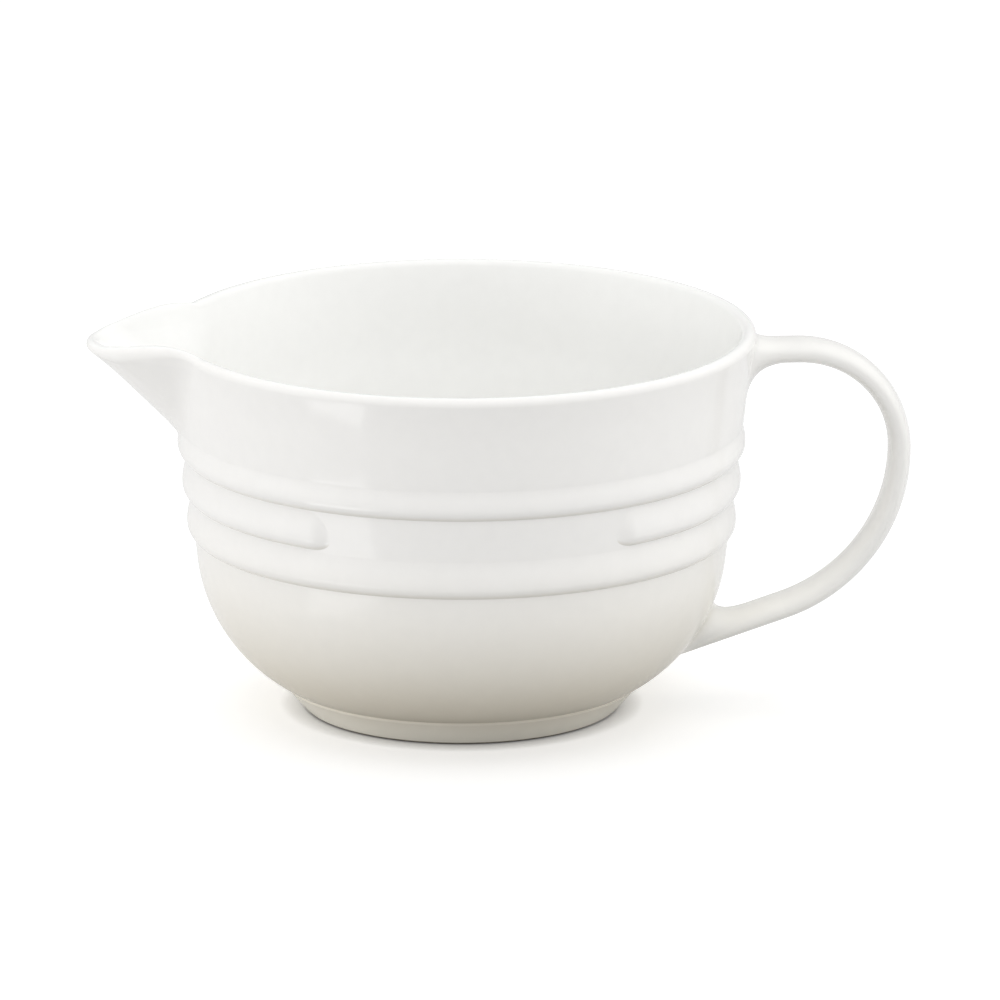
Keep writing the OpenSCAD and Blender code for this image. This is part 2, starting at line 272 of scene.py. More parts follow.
    def seat(self, p: np.ndarray, inside: bool) -> np.ndarray:
        """Height of the lower edge of the spout's seat.

        Args:
            p: angles from the spout's middle line, in radians.
            inside: whether the edge is on the inside of the wall.

        Returns:
            The edge's height at each angle.
        """
        z = np.full_like(np.asarray(p, dtype=float), self.spout_z)
        for _ in range(6):
            r = self.plain_in(z) if inside else self.plain_out(z)
            z = self.spout_z + math.tan(self.seat_slope) * r * np.sin(np.abs(p))
        return z

    def ridge(self, z: np.ndarray) -> np.ndarray:
        """Reach of the spout's underside along its middle line at the height z."""
        down = self.bowl_h - self.spout_droop - self.wall_t / 2.0 - z
        curl = np.maximum(0.0, 1.0 - np.maximum(0.0, down) / self.curl_h)
        straight = self.rim_r + self.spout_reach - down * math.tan(self.spout_slope)
        return straight - self.spout_curl * (1.0 - curl ** 2)

    def beak(self, p: np.ndarray, tip: np.ndarray, nose: float) -> np.ndarray:
        """Outline of a beak from above.

        Args:
            p: angles from the middle line, in radians.
            tip: reach of the beak's tip.
            nose: radius of its nose.

        Returns:
            The beak's radius at each angle.
        """
        c, q = tip - nose, np.abs(p)
        turn = np.arctan2(nose * math.cos(self.flank), c + nose * math.sin(self.flank))
        round_nose = c * np.cos(q) + np.sqrt(np.maximum(0.0, nose ** 2 - (c * np.sin(q)) ** 2))
        side = (c * math.sin(self.flank) + nose) / np.sin(self.flank + q)
        return np.where(q < turn, round_nose, side)

    def spout_out(self, p: np.ndarray, z: np.ndarray) -> np.ndarray:
        """Outside radius across the spout at the angle p and the height z."""
        base = self.plain_out(z)
        ramp = step01((z - self.seat(p, False)) / self.root_blend)
        beak = self.beak(p, self.ridge(z), self.nose_r)
        return base + ramp * (soft_max(base, beak, self.shoulder_blend) - base)

    def spout_in(self, p: np.ndarray, z: np.ndarray) -> np.ndarray:
        """Inside radius across the spout at the angle p and the height z."""
        base = self.plain_in(z)
        ramp = step01((z - self.seat(p, True)) / self.inner_root)
        tip = self.ridge(z) - self.spout_t / math.cos(self.spout_slope)
        beak = self.beak(p, tip, self.inner_nose_r)
        return base + ramp * (soft_max(base, beak, self.inner_blend) - base)

    def spout_top(self, p: np.ndarray) -> np.ndarray:
        """Height of the rim along the spout at the angle p."""
        z = np.full_like(p, self.bowl_h - self.wall_t / 2.0)
        wall = self.wall(z)
        q = np.clip((self.spout_out(p, z) - wall) / (self.rim_r + self.spout_reach - wall), 0.0, 1.0)
        return self.bowl_h + self.spout_rise * np.sin(math.pi * np.sqrt(q)) - self.spout_droop * q * q

    def rim(
        self,
        out: np.ndarray,
        inn: np.ndarray,
        tilt: np.ndarray,
        top: np.ndarray,
        steps: int,
    ) -> np.ndarray:
        """Rounded edge between an outside and an inside radius.

        Args:
            out: outside radius half a wall's thickness below the top, one for each column.
            inn: inside radius at the same height.
            tilt: lean of the wall below the edge, in radians.
            top: height of the edge's top.
            steps: number of steps over the edge.

        Returns:
            An array of rows, columns and (radius, height).
        """
        half = (out - inn) / 2.0 * np.cos(tilt)
        a = np.linspace(0.0, math.pi, steps + 1)[:, None] - tilt[None, :]
        middle = (out + inn) / 2.0 + np.tan(tilt) * (self.wall_t / 2.0 - half)
        return np.stack([middle + half * np.cos(a), top - half + half * np.sin(a)], axis=-1)


def around(p: np.ndarray, rz: np.ndarray) -> np.ndarray:
    """Places section points around the bowl's axis.

    Args:
        p: one angle from the spout's middle line for each column, in radians.
        rz: rows, columns and (radius, height).

    Returns:
        Rows, columns and (x, y, z).
    """
    return np.stack([-rz[..., 0] * np.cos(p), rz[..., 0] * np.sin(p), rz[..., 1]], axis=-1)


def lattice_normals(points: np.ndarray) -> np.ndarray:
    """Directions square to a lattice of points, left of its columns as its rows go up.

    Args:
        points: rows, columns and (x, y, z), with one spare row and column on every side.

    Returns:
        One unit vector for each point inside the spare border.
    """
    along = points[2:, 1:-1] - points[:-2, 1:-1]
    across = points[1:-1, 2:] - points[1:-1, :-2]
    n = np.cross(along, across)
    return n / np.maximum(np.linalg.norm(n, axis=-1, keepdims=True), 1e-12)


class Field:
    """A number that a geometry node tree works out at each point."""

    def __init__(self, tree: bpy.types.NodeTree, socket: bpy.types.NodeSocket) -> None:
        """Holds the tree and the socket that gives the number."""
        self.tree = tree
        self.socket = socket

    def math(self, operation: str, *others: Number) -> "Field":
        """Applies one operation of the Math node.

        Args:
            operation: the operation's name.
            *others: the further numbers that it takes.

        Returns:
            The result.
        """
        node = self.tree.nodes.new("ShaderNodeMath")
        node.operation = operation
        for socket, value in zip(node.inputs, (self,) + others):
            if isinstance(value, Field):
                self.tree.links.new(value.socket, socket)
            else:
                socket.default_value = value
        return Field(self.tree, node.outputs[0])

    def __add__(self, other: Number) -> "Field":
        """Sum."""
        return self.math("ADD", other)

    def __sub__(self, other: Number) -> "Field":
        """Difference."""
        return self.math("SUBTRACT", other)

    def __mul__(self, other: Number) -> "Field":
        """Product."""
        return self.math("MULTIPLY", other)

    def __truediv__(self, other: Number) -> "Field":
        """Quotient."""
        return self.math("DIVIDE", other)

    def root(self) -> "Field":
        """Square root, with 0 below 0."""
        return self.math("MAXIMUM", 0.0).math("SQRT")

    def choose(self, yes: "Field", no: Number) -> "Field":
        """Gives yes where this number is 1, and no where it is 0."""
        return self * (yes - no) + no


class Tree:
    """A geometry node tree with named inputs, whose result is a realised mesh with one material."""

    def __init__(self, name: str, inputs: dict[str, str]) -> None:
        """Starts the tree.

        Args:
            name: the tree's name.
            inputs: the kind of socket for each named input.
        """
        self.tree = bpy.data.node_groups.new(name, "GeometryNodeTree")
        sockets = self.tree.interface
        sockets.new_socket("Base", in_out="INPUT", socket_type="NodeSocketGeometry")
        self.names = {
            label: sockets.new_socket(label, in_out="INPUT", socket_type="NodeSocket" + kind).identifier
            for label, kind in inputs.items()
        }
        sockets.new_socket("Mesh", in_out="OUTPUT", socket_type="NodeSocketGeometry")
        self.start = self.tree.nodes.new("NodeGroupInput")
        self.end = self.tree.nodes.new("NodeGroupOutput")

    def node(self, kind: str, **inputs: object) -> bpy.types.Node:
        """Adds a node.

        Args:
            kind: the node's type, without its GeometryNode start where it has one.
            **inputs: values or sockets for its inputs, by name with _ for a space.

        Returns:
            The node.
        """
        shared = kind.startswith(("Shader", "Function"))
        node = self.tree.nodes.new(kind if shared else "GeometryNode" + kind)
        for label, value in inputs.items():
            self.feed(node.inputs[label.replace("_", " ")], value)
        return node

    def feed(self, socket: bpy.types.NodeSocket, value: object) -> None:
        """Links or sets an input.

        Args:
            socket: the input.
            value: a Field, a socket or a plain value.
        """
        source = value.socket if isinstance(value, Field) else value
        if isinstance(source, bpy.types.NodeSocket):
            self.tree.links.new(source, socket)
        else:
            socket.default_value = source

    def size(self, label: str) -> Field:
        """The named input as a Field."""
        return Field(self.tree, self.start.outputs[label])

    def place(self) -> tuple[Field, Field, Field]:
        """The points' own x, y and z as Fields."""
        split = self.node("ShaderNodeSeparateXYZ")
        self.tree.links.new(self.node("InputPosition").outputs[0], split.inputs[0])
        return tuple(Field(self.tree, s) for s in split.outputs)

    def move(self, mesh: bpy.types.NodeSocket, x: Number, y: Number, z: Number) -> bpy.types.NodeSocket:
        """Puts each point of a mesh at x, y and z.

        Args:
            mesh: the mesh.
            x: new x.
            y: new y.
            z: new z.

        Returns:
            The moved mesh.
        """
        joined = self.node("ShaderNodeCombineXYZ", X=x, Y=y, Z=z)
        return self.node("SetPosition", Geometry=mesh, Position=joined.outputs[0]).outputs[0]

    def store(self, mesh: bpy.types.NodeSocket, label: str, value: Field) -> bpy.types.NodeSocket:
        """Keeps a number with each point.

        Args:
            mesh: the mesh.
            label: the attribute's name.
            value: the number.

        Returns:
            The mesh with its attribute.
        """
        return self.node("StoreNamedAttribute", Geometry=mesh, Name=label, Value=value).outputs[0]

    def finish(self, mesh: bpy.types.NodeSocket, sharp: float) -> None:
        """Welds the mesh, shades it smooth except over sharp edges, realises it and sets its material.

        Args:
            mesh: the mesh.
            sharp: edges that turn by more than this many degrees stay sharp.
        """
        weld = self.node("MergeByDistance", Geometry=mesh, Distance=WELD * MM)
        turn = Field(self.tree, self.node("InputMeshEdgeAngle").outputs[0])
        smooth = self.node("SetShadeSmooth", Geometry=weld.outputs[0])
        smooth.domain = "EDGE"
        self.feed(smooth.inputs["Shade Smooth"], turn.math("LESS_THAN", math.radians(sharp)))
        real = self.node("RealizeInstances", Geometry=smooth.outputs[0])
        paint = self.node("SetMaterial", Geometry=real.outputs[0], Material=self.start.outputs["Glaze"])
        self.tree.links.new(paint.outputs[0], self.end.inputs[0])

    def grow(self, name: str, base: bpy.types.Mesh, values: dict[str, object]) -> bpy.types.Object:
        """Runs the tree on a base mesh and keeps the result as a plain mesh.

        Args:
            name: the new piece's name.
            base: the mesh that the tree starts from.
            values: a value for each named input.

        Returns:
            The piece, without modifiers.
        """
        maker = bpy.data.objects.new(name + "_maker", base)
        bpy.context.scene.collection.objects.link(maker)
        modifier = maker.modifiers.new(self.tree.name, "NODES")
        modifier.node_group = self.tree
        for label, value in values.items():
            modifier[self.names[label]] = value
        graph = bpy.context.evaluated_depsgraph_get()
        mesh = bpy.data.meshes.new_from_object(maker.evaluated_get(graph), depsgraph=graph)
        maker.modifiers.remove(modifier)
        bpy.data.objects.remove(maker)
        mesh.name = name
        outward(mesh)
        piece = bpy.data.objects.new(name, mesh)
        bpy.context.scene.collection.objects.link(piece)
        return piece


def line_mesh(name: str, points: np.ndarray, closed: bool) -> bpy.types.Mesh:
    """A mesh of edges only, for a path or an outline.

    Args:
        name: the mesh's name.
        points: its points in millimetres.
        closed: whether the last point joins the first.

    Returns:
        The mesh.
    """
    count = len(points)
    edges = [(i, (i + 1) % count) for i in range(count if closed else count - 1)]
    mesh = bpy.data.meshes.new(name)
    mesh.from_pydata((points * MM).tolist(), edges, [])
    return mesh


def outward(mesh: bpy.types.Mesh) -> None:
    """Turns a closed mesh's faces round if they point inwards.

    Args:
        mesh: the mesh.
    """
    shell = bmesh.new()
    shell.from_mesh(mesh)
    inside_out = shell.calc_volume(signed=True) < 0.0
    shell.free()
    if inside_out:
        mesh.flip_normals()


def rungs(ids: Sequence[int]) -> list[tuple[int, ...]]:
    """Faces that close the open end of a folded strip, from its edges up to the fold.

    Args:
        ids: the end's points, from one edge over the fold to the other.

    Returns:
        The points of each face.
    """
    n = len(ids)
    faces = []
    for k in range((n - 1) // 2):
        corners = (k, k + 1, n - 2 - k, n - 1 - k)
        if corners[1] == corners[2]:
            corners = (k, k + 1, n - 1 - k)
        faces.append(tuple(ids[i] for i in corners))
    return faces


def skin(
    name: str,
    points: np.ndarray,
    faces: list[Sequence[int]],
    normals: np.ndarray,
    marks: dict[str, np.ndarray],
) -> bpy.types.Object:
    """Makes a smooth piece from points and faces.

    Args:
        name: the piece's name.
        points: its points in millimetres.
        faces: indices of each face's points, outward.
        normals: one direction for each point.
        marks: one number for each point, by attribute name.

    Returns:
        The piece.
    """
    mesh = bpy.data.meshes.new(name)
    mesh.from_pydata((points * MM).tolist(), [], [tuple(int(i) for i in face) for face in faces])
    mesh.polygons.foreach_set("use_smooth", [True] * len(mesh.polygons))
    for label, values in marks.items():
        mesh.attributes.new(label, "FLOAT", "POINT").data.foreach_set("value", values.astype(np.float32))
    mesh.update()
    outward(mesh)
    mesh.normals_split_custom_set_from_vertices(normals.tolist())
    piece = bpy.data.objects.new(name, mesh)
    bpy.context.scene.collection.objects.link(piece)
    return piece


@dataclass(frozen=True)
class Paint:
    """The node tree of a material or the world, with the kinds of node that the finishes need.

    Args:
        tree: the node tree.
    """

    tree: bpy.types.NodeTree

    def add(self, kind: str, inputs: dict[Union[str, int], object], **settings: object) -> bpy.types.Node:
        """Adds a node.

        Args:
            kind: the node's type, without its ShaderNode start.
            inputs: a socket or a value for each input, by the input's name or number.
            **settings: the node's own settings, made before its inputs.

        Returns:
            The node.
        """
        node = self.tree.nodes.new("ShaderNode" + kind)
        for label, value in settings.items():
            setattr(node, label, value)
        for key, value in inputs.items():
            self.feed(node.inputs[key], value)
        return node

    def feed(self, socket: bpy.types.NodeSocket, value: object) -> None:
        """Links or sets an input.

        Args:
            socket: the input.
            value: a socket or a plain value.
        """
        if isinstance(value, bpy.types.NodeSocket):
            self.tree.links.new(value, socket)
        else:
            socket.default_value = value

    def math(self, operation: str, *values: object, clamp: bool = False) -> bpy.types.NodeSocket:
        """Applies one operation of the Math node.

        Args:
            operation: the operation's name.
            *values: sockets or numbers.
            clamp: whether the result is held between 0 and 1.

        Returns:
            The result.
        """
        return self.add("Math", dict(enumerate(values)), operation=operation, use_clamp=clamp).outputs[0]

    def span(
        self,
        value: bpy.types.NodeSocket,
        start: tuple[float, float],
        end: tuple[float, float],
    ) -> bpy.types.NodeSocket:
        """Maps a number from one span to another, held at both ends.

        Args:
            value: the number.
            start: the span that it comes from.
            end: the span that it goes to.

        Returns:
            The mapped number.
        """
        labels = ("From Min", "From Max", "To Min", "To Max")
        return self.add("MapRange", {"Value": value, **dict(zip(labels, start + end))}).outputs[0]

    def noise(self, where: bpy.types.NodeSocket, scale: float, detail: float) -> bpy.types.NodeSocket:
        """Soft noise over a piece."""
        return self.add("TexNoise", {"Vector": where, "Scale": scale, "Detail": detail}).outputs["Fac"]

    def mix(self, share: object, one: object, other: object, blend: str = "MIX") -> bpy.types.NodeSocket:
        """Mixes two colours.

        Args:
            share: share of the other colour.
            one: the colour so far.
            other: the colour to mix in.
            blend: how the two are mixed.

        Returns:
            The mixed colour.
        """
        parts = {"Factor": share, "A": one, "B": other}
        return self.add("Mix", parts, data_type="RGBA", blend_type=blend).outputs["Result"]

    def marked(self, label: str, colour: object, other: Colour, most: float) -> bpy.types.NodeSocket:
        """Mixes in a colour where an attribute says so.

        Args:
            label: the attribute's name.
            colour: the colour so far.
            other: the colour to mix in.
            most: share of it where the attribute is 1.

        Returns:
            The mixed colour.
        """
        mark = self.add("Attribute", {}, attribute_name=label).outputs["Fac"]
        return self.mix(self.math("MULTIPLY", mark, most, clamp=True), colour, linear(other))


@dataclass(frozen=True)
class Glaze:
    """A gloss glaze over stoneware, warmer where it runs thin low on the pot and darker there, partly its own
    tone and partly painted shade.

    Args:
        name: the material's name.
        stops: heights in millimetres and the colour given there, the glaze's own tone with painted light or
            shade laid in, as noted at each table.
        inside: colour of the inside of the bowl, or of a joint where it leaves the wall.
        roughness: lowest and highest roughness.
        clay_and_contact_shade: colour of the bare standing face, darkened beyond the clay's own colour as a
            painted contact shadow along the foot's lower edge, or None where there is none.
        groove_pool_and_shade: colour of the glaze that gathers in the grooves between the bands, which also
            serves as painted shade on the downward-facing lower edge of each band.
        pool_and_shade_share: share of that colour in the depth of a groove.
        wander: height over which the tones run up and down, in millimetres.
        clay_and_contact_band: heights in millimetres from which and up to which the bare, darkened edge gives
            way to glaze; it reaches up the outer rounding to carry that painted contact shadow.
        dry: roughness of the bare standing edge.
        speckle: darkest tint of the fine speckle.
        run_scale: fineness of the runs in the glaze.
        speckle_scale: fineness of the speckle.
        peel_scale: fineness of the soft waves in the surface.
        peel_depth: depth of those waves, in millimetres.
        peel_share: how strongly they show.
        cache: keeps the material once it is built.
    """

    name: str
    stops: tuple[tuple[float, Colour], ...]
    inside: Colour = (249.0, 249.0, 247.0)
    roughness: tuple[float, float] = (0.07, 0.12)
    clay_and_contact_shade: Optional[Colour] = None
    groove_pool_and_shade: Colour = (214.0, 207.0, 192.0)
    pool_and_shade_share: float = 0.5
    wander: float = 6.0
    clay_and_contact_band: tuple[float, float] = (0.5, 0.9)
    dry: float = 0.85
    speckle: float = 0.985
    run_scale: float = 22.0
    speckle_scale: float = 190.0
    peel_scale: float = 75.0
    peel_depth: float = 0.4
    peel_share: float = 0.05
    cache: dict = field(default_factory=dict, compare=False, repr=False)

    def material(self) -> bpy.types.Material:
        """Builds the material once and returns it."""
        if "made" not in self.cache:
            self.cache["made"] = self.build()
        return self.cache["made"]

    def tones(
        self,
        paint: Paint,
        where: bpy.types.NodeSocket,
        height: bpy.types.NodeSocket,
        run: bpy.types.NodeSocket,
    ) -> bpy.types.NodeSocket:
        """Works out the glaze's colour.

        Args:
            paint: the material's tree.
            where: the point on the piece.
            height: its height.
            run: the noise of the runs in the glaze.

        Returns:
            The colour.
        """
        top, middle = self.stops[-1][0], self.wander / 2.0
        lifted = paint.math("MULTIPLY_ADD", run, self.wander * MM, height)
        level = paint.span(lifted, (middle * MM, (top + middle) * MM), UNIT)
        ramp = paint.add("ValToRGB", {0: level})
        scale = ramp.color_ramp
        scale.interpolation = "B_SPLINE"
        while len(scale.elements) < len(self.stops):
            scale.elements.new(0.5)
        for element, (z, colour) in zip(scale.elements, self.stops):
            element.position = z / top
            element.color = linear(colour)
        tone = paint.marked("inside", ramp.outputs[0], self.inside, 1.0)
        # Painted shade: the groove colour darkens each band's lower edge above the groove, partly as glaze
        # pooling and partly as shade.
        tone = paint.marked("groove_pool_and_shade", tone, self.groove_pool_and_shade, self.pool_and_shade_share)
        fine = paint.noise(where, self.speckle_scale, 4.0)
        return paint.mix(1.0, tone, paint.span(fine, NOISE_SPAN, (self.speckle, 1.0)), "MULTIPLY")

    def build(self) -> bpy.types.Material:
        """Builds the material's nodes.

        Returns:
            The material.
        """
        material = bpy.data.materials.new(self.name)
        material.use_nodes = True
        paint = Paint(material.node_tree)
        where = paint.add("TexCoord", {}).outputs["Object"]
        height = paint.add("SeparateXYZ", {0: where}).outputs["Z"]
        run = paint.noise(where, self.run_scale, 3.0)
        colour = self.tones(paint, where, height, run)
        rough = paint.span(run, NOISE_SPAN, self.roughness)
        # The bare band is darker than bare clay alone: painted contact shadow along the foot's lower edge.
        if self.clay_and_contact_shade:
            bare = paint.span(height, (self.clay_and_contact_band[0] * MM, self.clay_and_contact_band[1] * MM), (1.0, 0.0))
            colour = paint.mix(bare, colour, linear(self.clay_and_contact_shade))
            rough = paint.add("Mix", {"Factor": bare, "A": rough, "B": self.dry}).outputs["Result"]
        peel = paint.noise(where, self.peel_scale, 1.0)
        waves = {"Strength": self.peel_share, "Distance": self.peel_depth * MM, "Height": peel}
        bump = paint.add("Bump", waves)
        shader = material.node_tree.nodes["Principled BSDF"]
        finish = {"IOR": 1.5, "Base Color": colour, "Roughness": rough, "Normal": bump.outputs[0]}
        for label, value in finish.items():
            paint.feed(shader.inputs[label], value)
        return material


# The cream glaze darkens and warms towards the foot. This is partly its own tone and partly painted shade on
# the low belly, which faces down, away from the light.
CREAM_TONE_AND_SHADE_STOPS = (
    (0.0, (219.0, 211.0, 194.0)),
    (16.0, (229.0, 222.0, 206.0)),
    (34.0, (240.0, 236.0, 226.0)),
    (56.0, (247.0, 245.0, 240.0)),
    (80.0, (250.0, 249.0, 247.0)),
)
# Over its own near-white tone, the handle's glaze is painted lighter low down, where the strap and lower
# joint lie in shade. It is painted darker at the top, where the overhead light falls: painted light and
# shade.
HANDLE_TONE_AND_LIGHT_STOPS = ((0.0, (249.0, 247.0, 242.0)), (32.0, (249.0, 248.0, 244.0)), (60.0, (242.0, 241.0, 238.0)))
# The foot ring is painted near white, much paler than the belly glaze that it continues, and palest at its
# lower edge. This is painted light for the floor light that its shaded, downward-facing side lacks.
FOOT_TONE_AND_LIGHT_STOPS = ((0.0, (255.0, 252.0, 242.0)), (5.0, (254.0, 250.0, 239.0)), (9.0, (240.0, 234.0, 221.0)))
CREAM = Glaze("cream_glaze", CREAM_TONE_AND_SHADE_STOPS)
HANDLE_GLAZE = Glaze("handle_glaze", HANDLE_TONE_AND_LIGHT_STOPS)
UPPER_JOINT = Glaze("upper_joint_glaze", CREAM_TONE_AND_SHADE_STOPS, inside=HANDLE_TONE_AND_LIGHT_STOPS[2][1])
LOWER_JOINT = Glaze("lower_joint_glaze", CREAM_TONE_AND_SHADE_STOPS, inside=HANDLE_TONE_AND_LIGHT_STOPS[1][1])
# The standing edge's dark colour is partly bare clay and partly painted contact shadow.
FOOT_GLAZE = Glaze("foot_stoneware", FOOT_TONE_AND_LIGHT_STOPS, roughness=(0.10, 0.2), clay_and_contact_shade=(132.0, 120.0, 102.0))


def settle(piece: bpy.types.Object, node: str, slot: Slot, glaze: Glaze) -> bpy.types.Object:
    """Dresses a piece and gives it its place in the frame.

    Args:
        piece: the piece.
        node: the solid that it stands for.
        slot: the part's material slot.
        glaze: its finish.

    Returns:
        The piece.
    """
    if not piece.data.materials:
        piece.data.materials.append(glaze.material())
    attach(piece, "root")
    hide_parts(node)
    LOG.info("%s: %d faces, %s", piece.name, len(piece.data.polygons), slot.value)
    return piece


@dataclass
class Vessel:
    """The round body and the spout that is set into its notch.

    Args:
        form: the shared shapes.
        glaze: the finish.
        sector: columns across the spout.
        columns: columns around the rest of the wall.
        heel_round: rounding of the belly's lower edge.
        under: radii of the rows of points on the underside.
    """

    form: BowlForm
    glaze: Glaze = CREAM
    sector: int = 120
    columns: int = 280
    heel_round: float = 0.7
    under: tuple[float, ...] = (12.0, 26.0, 38.0, 46.0, 52.0, 57.0)

    def low_section(self) -> np.ndarray:
        """Section from near the middle of the underside, round the heel and up the belly.

        Returns:
            Rows of radius and height, up to just below the leaning wall.
        """
        f = self.form
        c_r, c_z, radius = f.belly
        a = self.heel_round
        z = f.foot_h + a
        r = c_r + math.sqrt((radius - a) ** 2 - (z - c_z) ** 2)
        turn = math.degrees(math.atan2(z - c_z, r - c_r))
        under = [[x, f.foot_h] for x in self.under + (r - 1.0,)]
        heel = arc((r, z), a, -90.0, turn, 6)
        belly = arc((c_r, c_z), radius, turn, -math.degrees(f.lean), 56)[1:-1]
        return np.concatenate([under, heel, belly])

    def inner_section(self) -> np.ndarray:
        """Section inside, from the top of the belly down to near the middle of the floor.

        Returns:
            Rows of radius and height.
        """
        f = self.form
        c_r, c_z, radius = f.belly
        inner = radius - f.wall_t
        m_z = f.floor_z + f.floor_fillet
        m_r = c_r + math.sqrt((inner - f.floor_fillet) ** 2 - (c_z - m_z) ** 2)
        turn = math.degrees(math.atan2(m_z - c_z, m_r - c_r))
        belly = arc((c_r, c_z), inner, -math.degrees(f.lean), turn, 30)
        corner = arc((m_r, m_z), f.floor_fillet, turn, -90.0, 24)[1:]
        floor = [[x, f.floor_z] for x in np.linspace(m_r, 0.0, 9)[1:-1]]
        return np.concatenate([belly, corner, floor])

    def section(self, p: np.ndarray) -> tuple[np.ndarray, int, int, int]:
        """Whole section of the body, from the underside over the rim to the floor inside.

        Args:
            p: angles from the spout's middle line, in radians.

        Returns:
            Rows of radius and height for each angle, the rows where the spout's seat lies outside and inside,
            and the first row that counts as inside.
        """
        f = self.form
        count = len(p)
        near = np.clip(np.where(p > math.pi, p - 2.0 * math.pi, p), -f.seat_angle, f.seat_angle)
        low, high = f.seat(near, False), f.seat(near, True)
        rim_z = f.bowl_h - f.wall_t / 2.0
        tilt = float(np.arctan(f.wall(rim_z) - f.wall(rim_z - 1.0)))
        one = np.ones(count)
        rim = f.rim(f.wall(rim_z) * one, f.plain_in(rim_z) * one, tilt * one, f.bowl_h * one, 16)
        t = np.linspace(0.0, 1.0, 17)[:, None]

        def wall_rows(start: np.ndarray, end: np.ndarray, inside: bool) -> np.ndarray:
            """Rows of the wall between two heights of each column."""
            z = start + (end - start) * t
            r = f.plain_in(z) if inside else f.wall(z)
            return np.stack([r, z], axis=-1)

        out_low = wall_rows(f.belly_z * one, low, False)
        out_high = wall_rows(low, rim[0, :, 1], False)[1:-1]
        in_high = wall_rows(rim[-1, :, 1], high, True)[1:-1]
        in_low = wall_rows(high, f.belly_z * one, True)[:-1]
        foot = np.repeat(self.low_section()[:, None, :], count, axis=1)
        floor = np.repeat(self.inner_section()[:, None, :], count, axis=1)
        rz = np.concatenate([foot, out_low, out_high, rim, in_high, in_low, floor])
        seat_out = len(foot) + len(out_low) - 1
        seat_in = seat_out + len(out_high) + len(rim) + len(in_high) + 1
        return rz, seat_out, seat_in, seat_out + len(out_high) + len(rim) // 2

    def body(self) -> bpy.types.Object:
        """Builds the bowl's body with its notch.

        Returns:
            The piece.
        """
        f = self.form
        edge = f.seat_angle
        p = np.concatenate([
            np.linspace(-edge, edge, self.sector + 1),
            np.linspace(edge, 2.0 * math.pi - edge, self.columns + 1)[1:-1],
        ])
        rz, seat_out, seat_in, inner = self.section(p)
        rows, count = rz.shape[:2]
        keep = np.ones((rows, count), dtype=bool)
        keep[seat_out + 1:seat_in, 1:self.sector] = False
        ids = np.full((rows, count), -1)
        ids[keep] = np.arange(keep.sum())
        points = around(p, rz)
        way = np.gradient(rz, axis=0)
        flat = np.stack([way[..., 1], -way[..., 0]], axis=-1)
        normals = around(p, flat)
        normals /= np.maximum(np.linalg.norm(normals, axis=-1, keepdims=True), 1e-12)
        faces = []
        for i in range(rows - 1):
            for j in range(count):
                k = (j + 1) % count
                if j < self.sector and seat_out <= i < seat_in:
                    if i == seat_out:
                        faces.append((ids[i, j], ids[seat_in, j], ids[seat_in, k], ids[i, k]))
                else:
                    faces.append((ids[i, j], ids[i + 1, j], ids[i + 1, k], ids[i, k]))
        faces += rungs(ids[seat_out:seat_in + 1, 0])
        faces += [face[::-1] for face in rungs(ids[seat_out:seat_in + 1, self.sector])]
        total = int(keep.sum())
        faces += [(total, ids[0, j], ids[0, (j + 1) % count]) for j in range(count)]
        faces += [(total + 1, ids[-1, (j + 1) % count], ids[-1, j]) for j in range(count)]
        ends = np.array([[0.0, 0.0, f.foot_h], [0.0, 0.0, f.floor_z]])
        inside = np.zeros((rows, count))
        inside[inner:] = 1.0
        return skin(
            "bowl_body_shell",
            np.concatenate([points[keep], ends]),
            faces,
            np.concatenate([normals[keep], [[0.0, 0.0, -1.0], [0.0, 0.0, 1.0]]]),
            {"inside": np.concatenate([inside[keep], [0.0, 1.0]])},
        )

    def spout(self) -> bpy.types.Object:
        """Builds the spout with the wall that it carries beside it.

        Returns:
            The piece.
        """
        f = self.form
        step = 2.0 * f.seat_angle / self.sector
        p = np.linspace(-f.seat_angle - step, f.seat_angle + step, self.sector + 3)
        top = f.spout_top(p)
        z = top - f.wall_t / 2.0
        out, inn = f.spout_out(p, z), f.spout_in(p, z)
        rim = f.rim(out, inn, np.arctan(out - f.spout_out(p, z - 1.0)), top, 16)
        t = np.linspace(0.0, 1.0, 61)
        t = np.concatenate([[-t[1]], t[:-1]])[:, None]
        low, high = f.seat(p, False), f.seat(p, True)
        up = low + (rim[0, :, 1] - low) * t
        down = (high + (rim[-1, :, 1] - high) * t)[::-1]
        outer = np.stack([f.spout_out(p, up), up], axis=-1)
        inner = np.stack([f.spout_in(p, down), down], axis=-1)
        rz = np.concatenate([outer, rim, inner])
        points = around(p, rz)
        normals = lattice_normals(points)
        points = points[1:-1, 1:-1]
        rows, count = points.shape[:2]
        ids = np.arange(rows * count).reshape(rows, count)
        faces = []
        for j in range(count - 1):
            faces += [(ids[i, j], ids[i + 1, j], ids[i + 1, j + 1], ids[i, j + 1]) for i in range(rows - 1)]
            faces.append((ids[-1, j], ids[0, j], ids[0, j + 1], ids[-1, j + 1]))
        faces += rungs(ids[:, -1])
        faces += [face[::-1] for face in rungs(ids[:, 0])]
        inside = np.zeros((rows, count))
        inside[len(outer) - 1 + len(rim) // 2:] = 1.0
        return skin(
            "pour_spout_shell",
            points.reshape(-1, 3),
            faces,
            normals.reshape(-1, 3),
            {"inside": inside.reshape(-1)},
        )

    def build(self) -> None:
        """Builds both pieces and dresses them."""
        settle(self.body(), "bowl_body", Slot.CREAM, self.glaze)
        settle(self.spout(), "pour_spout", Slot.CREAM, self.glaze)


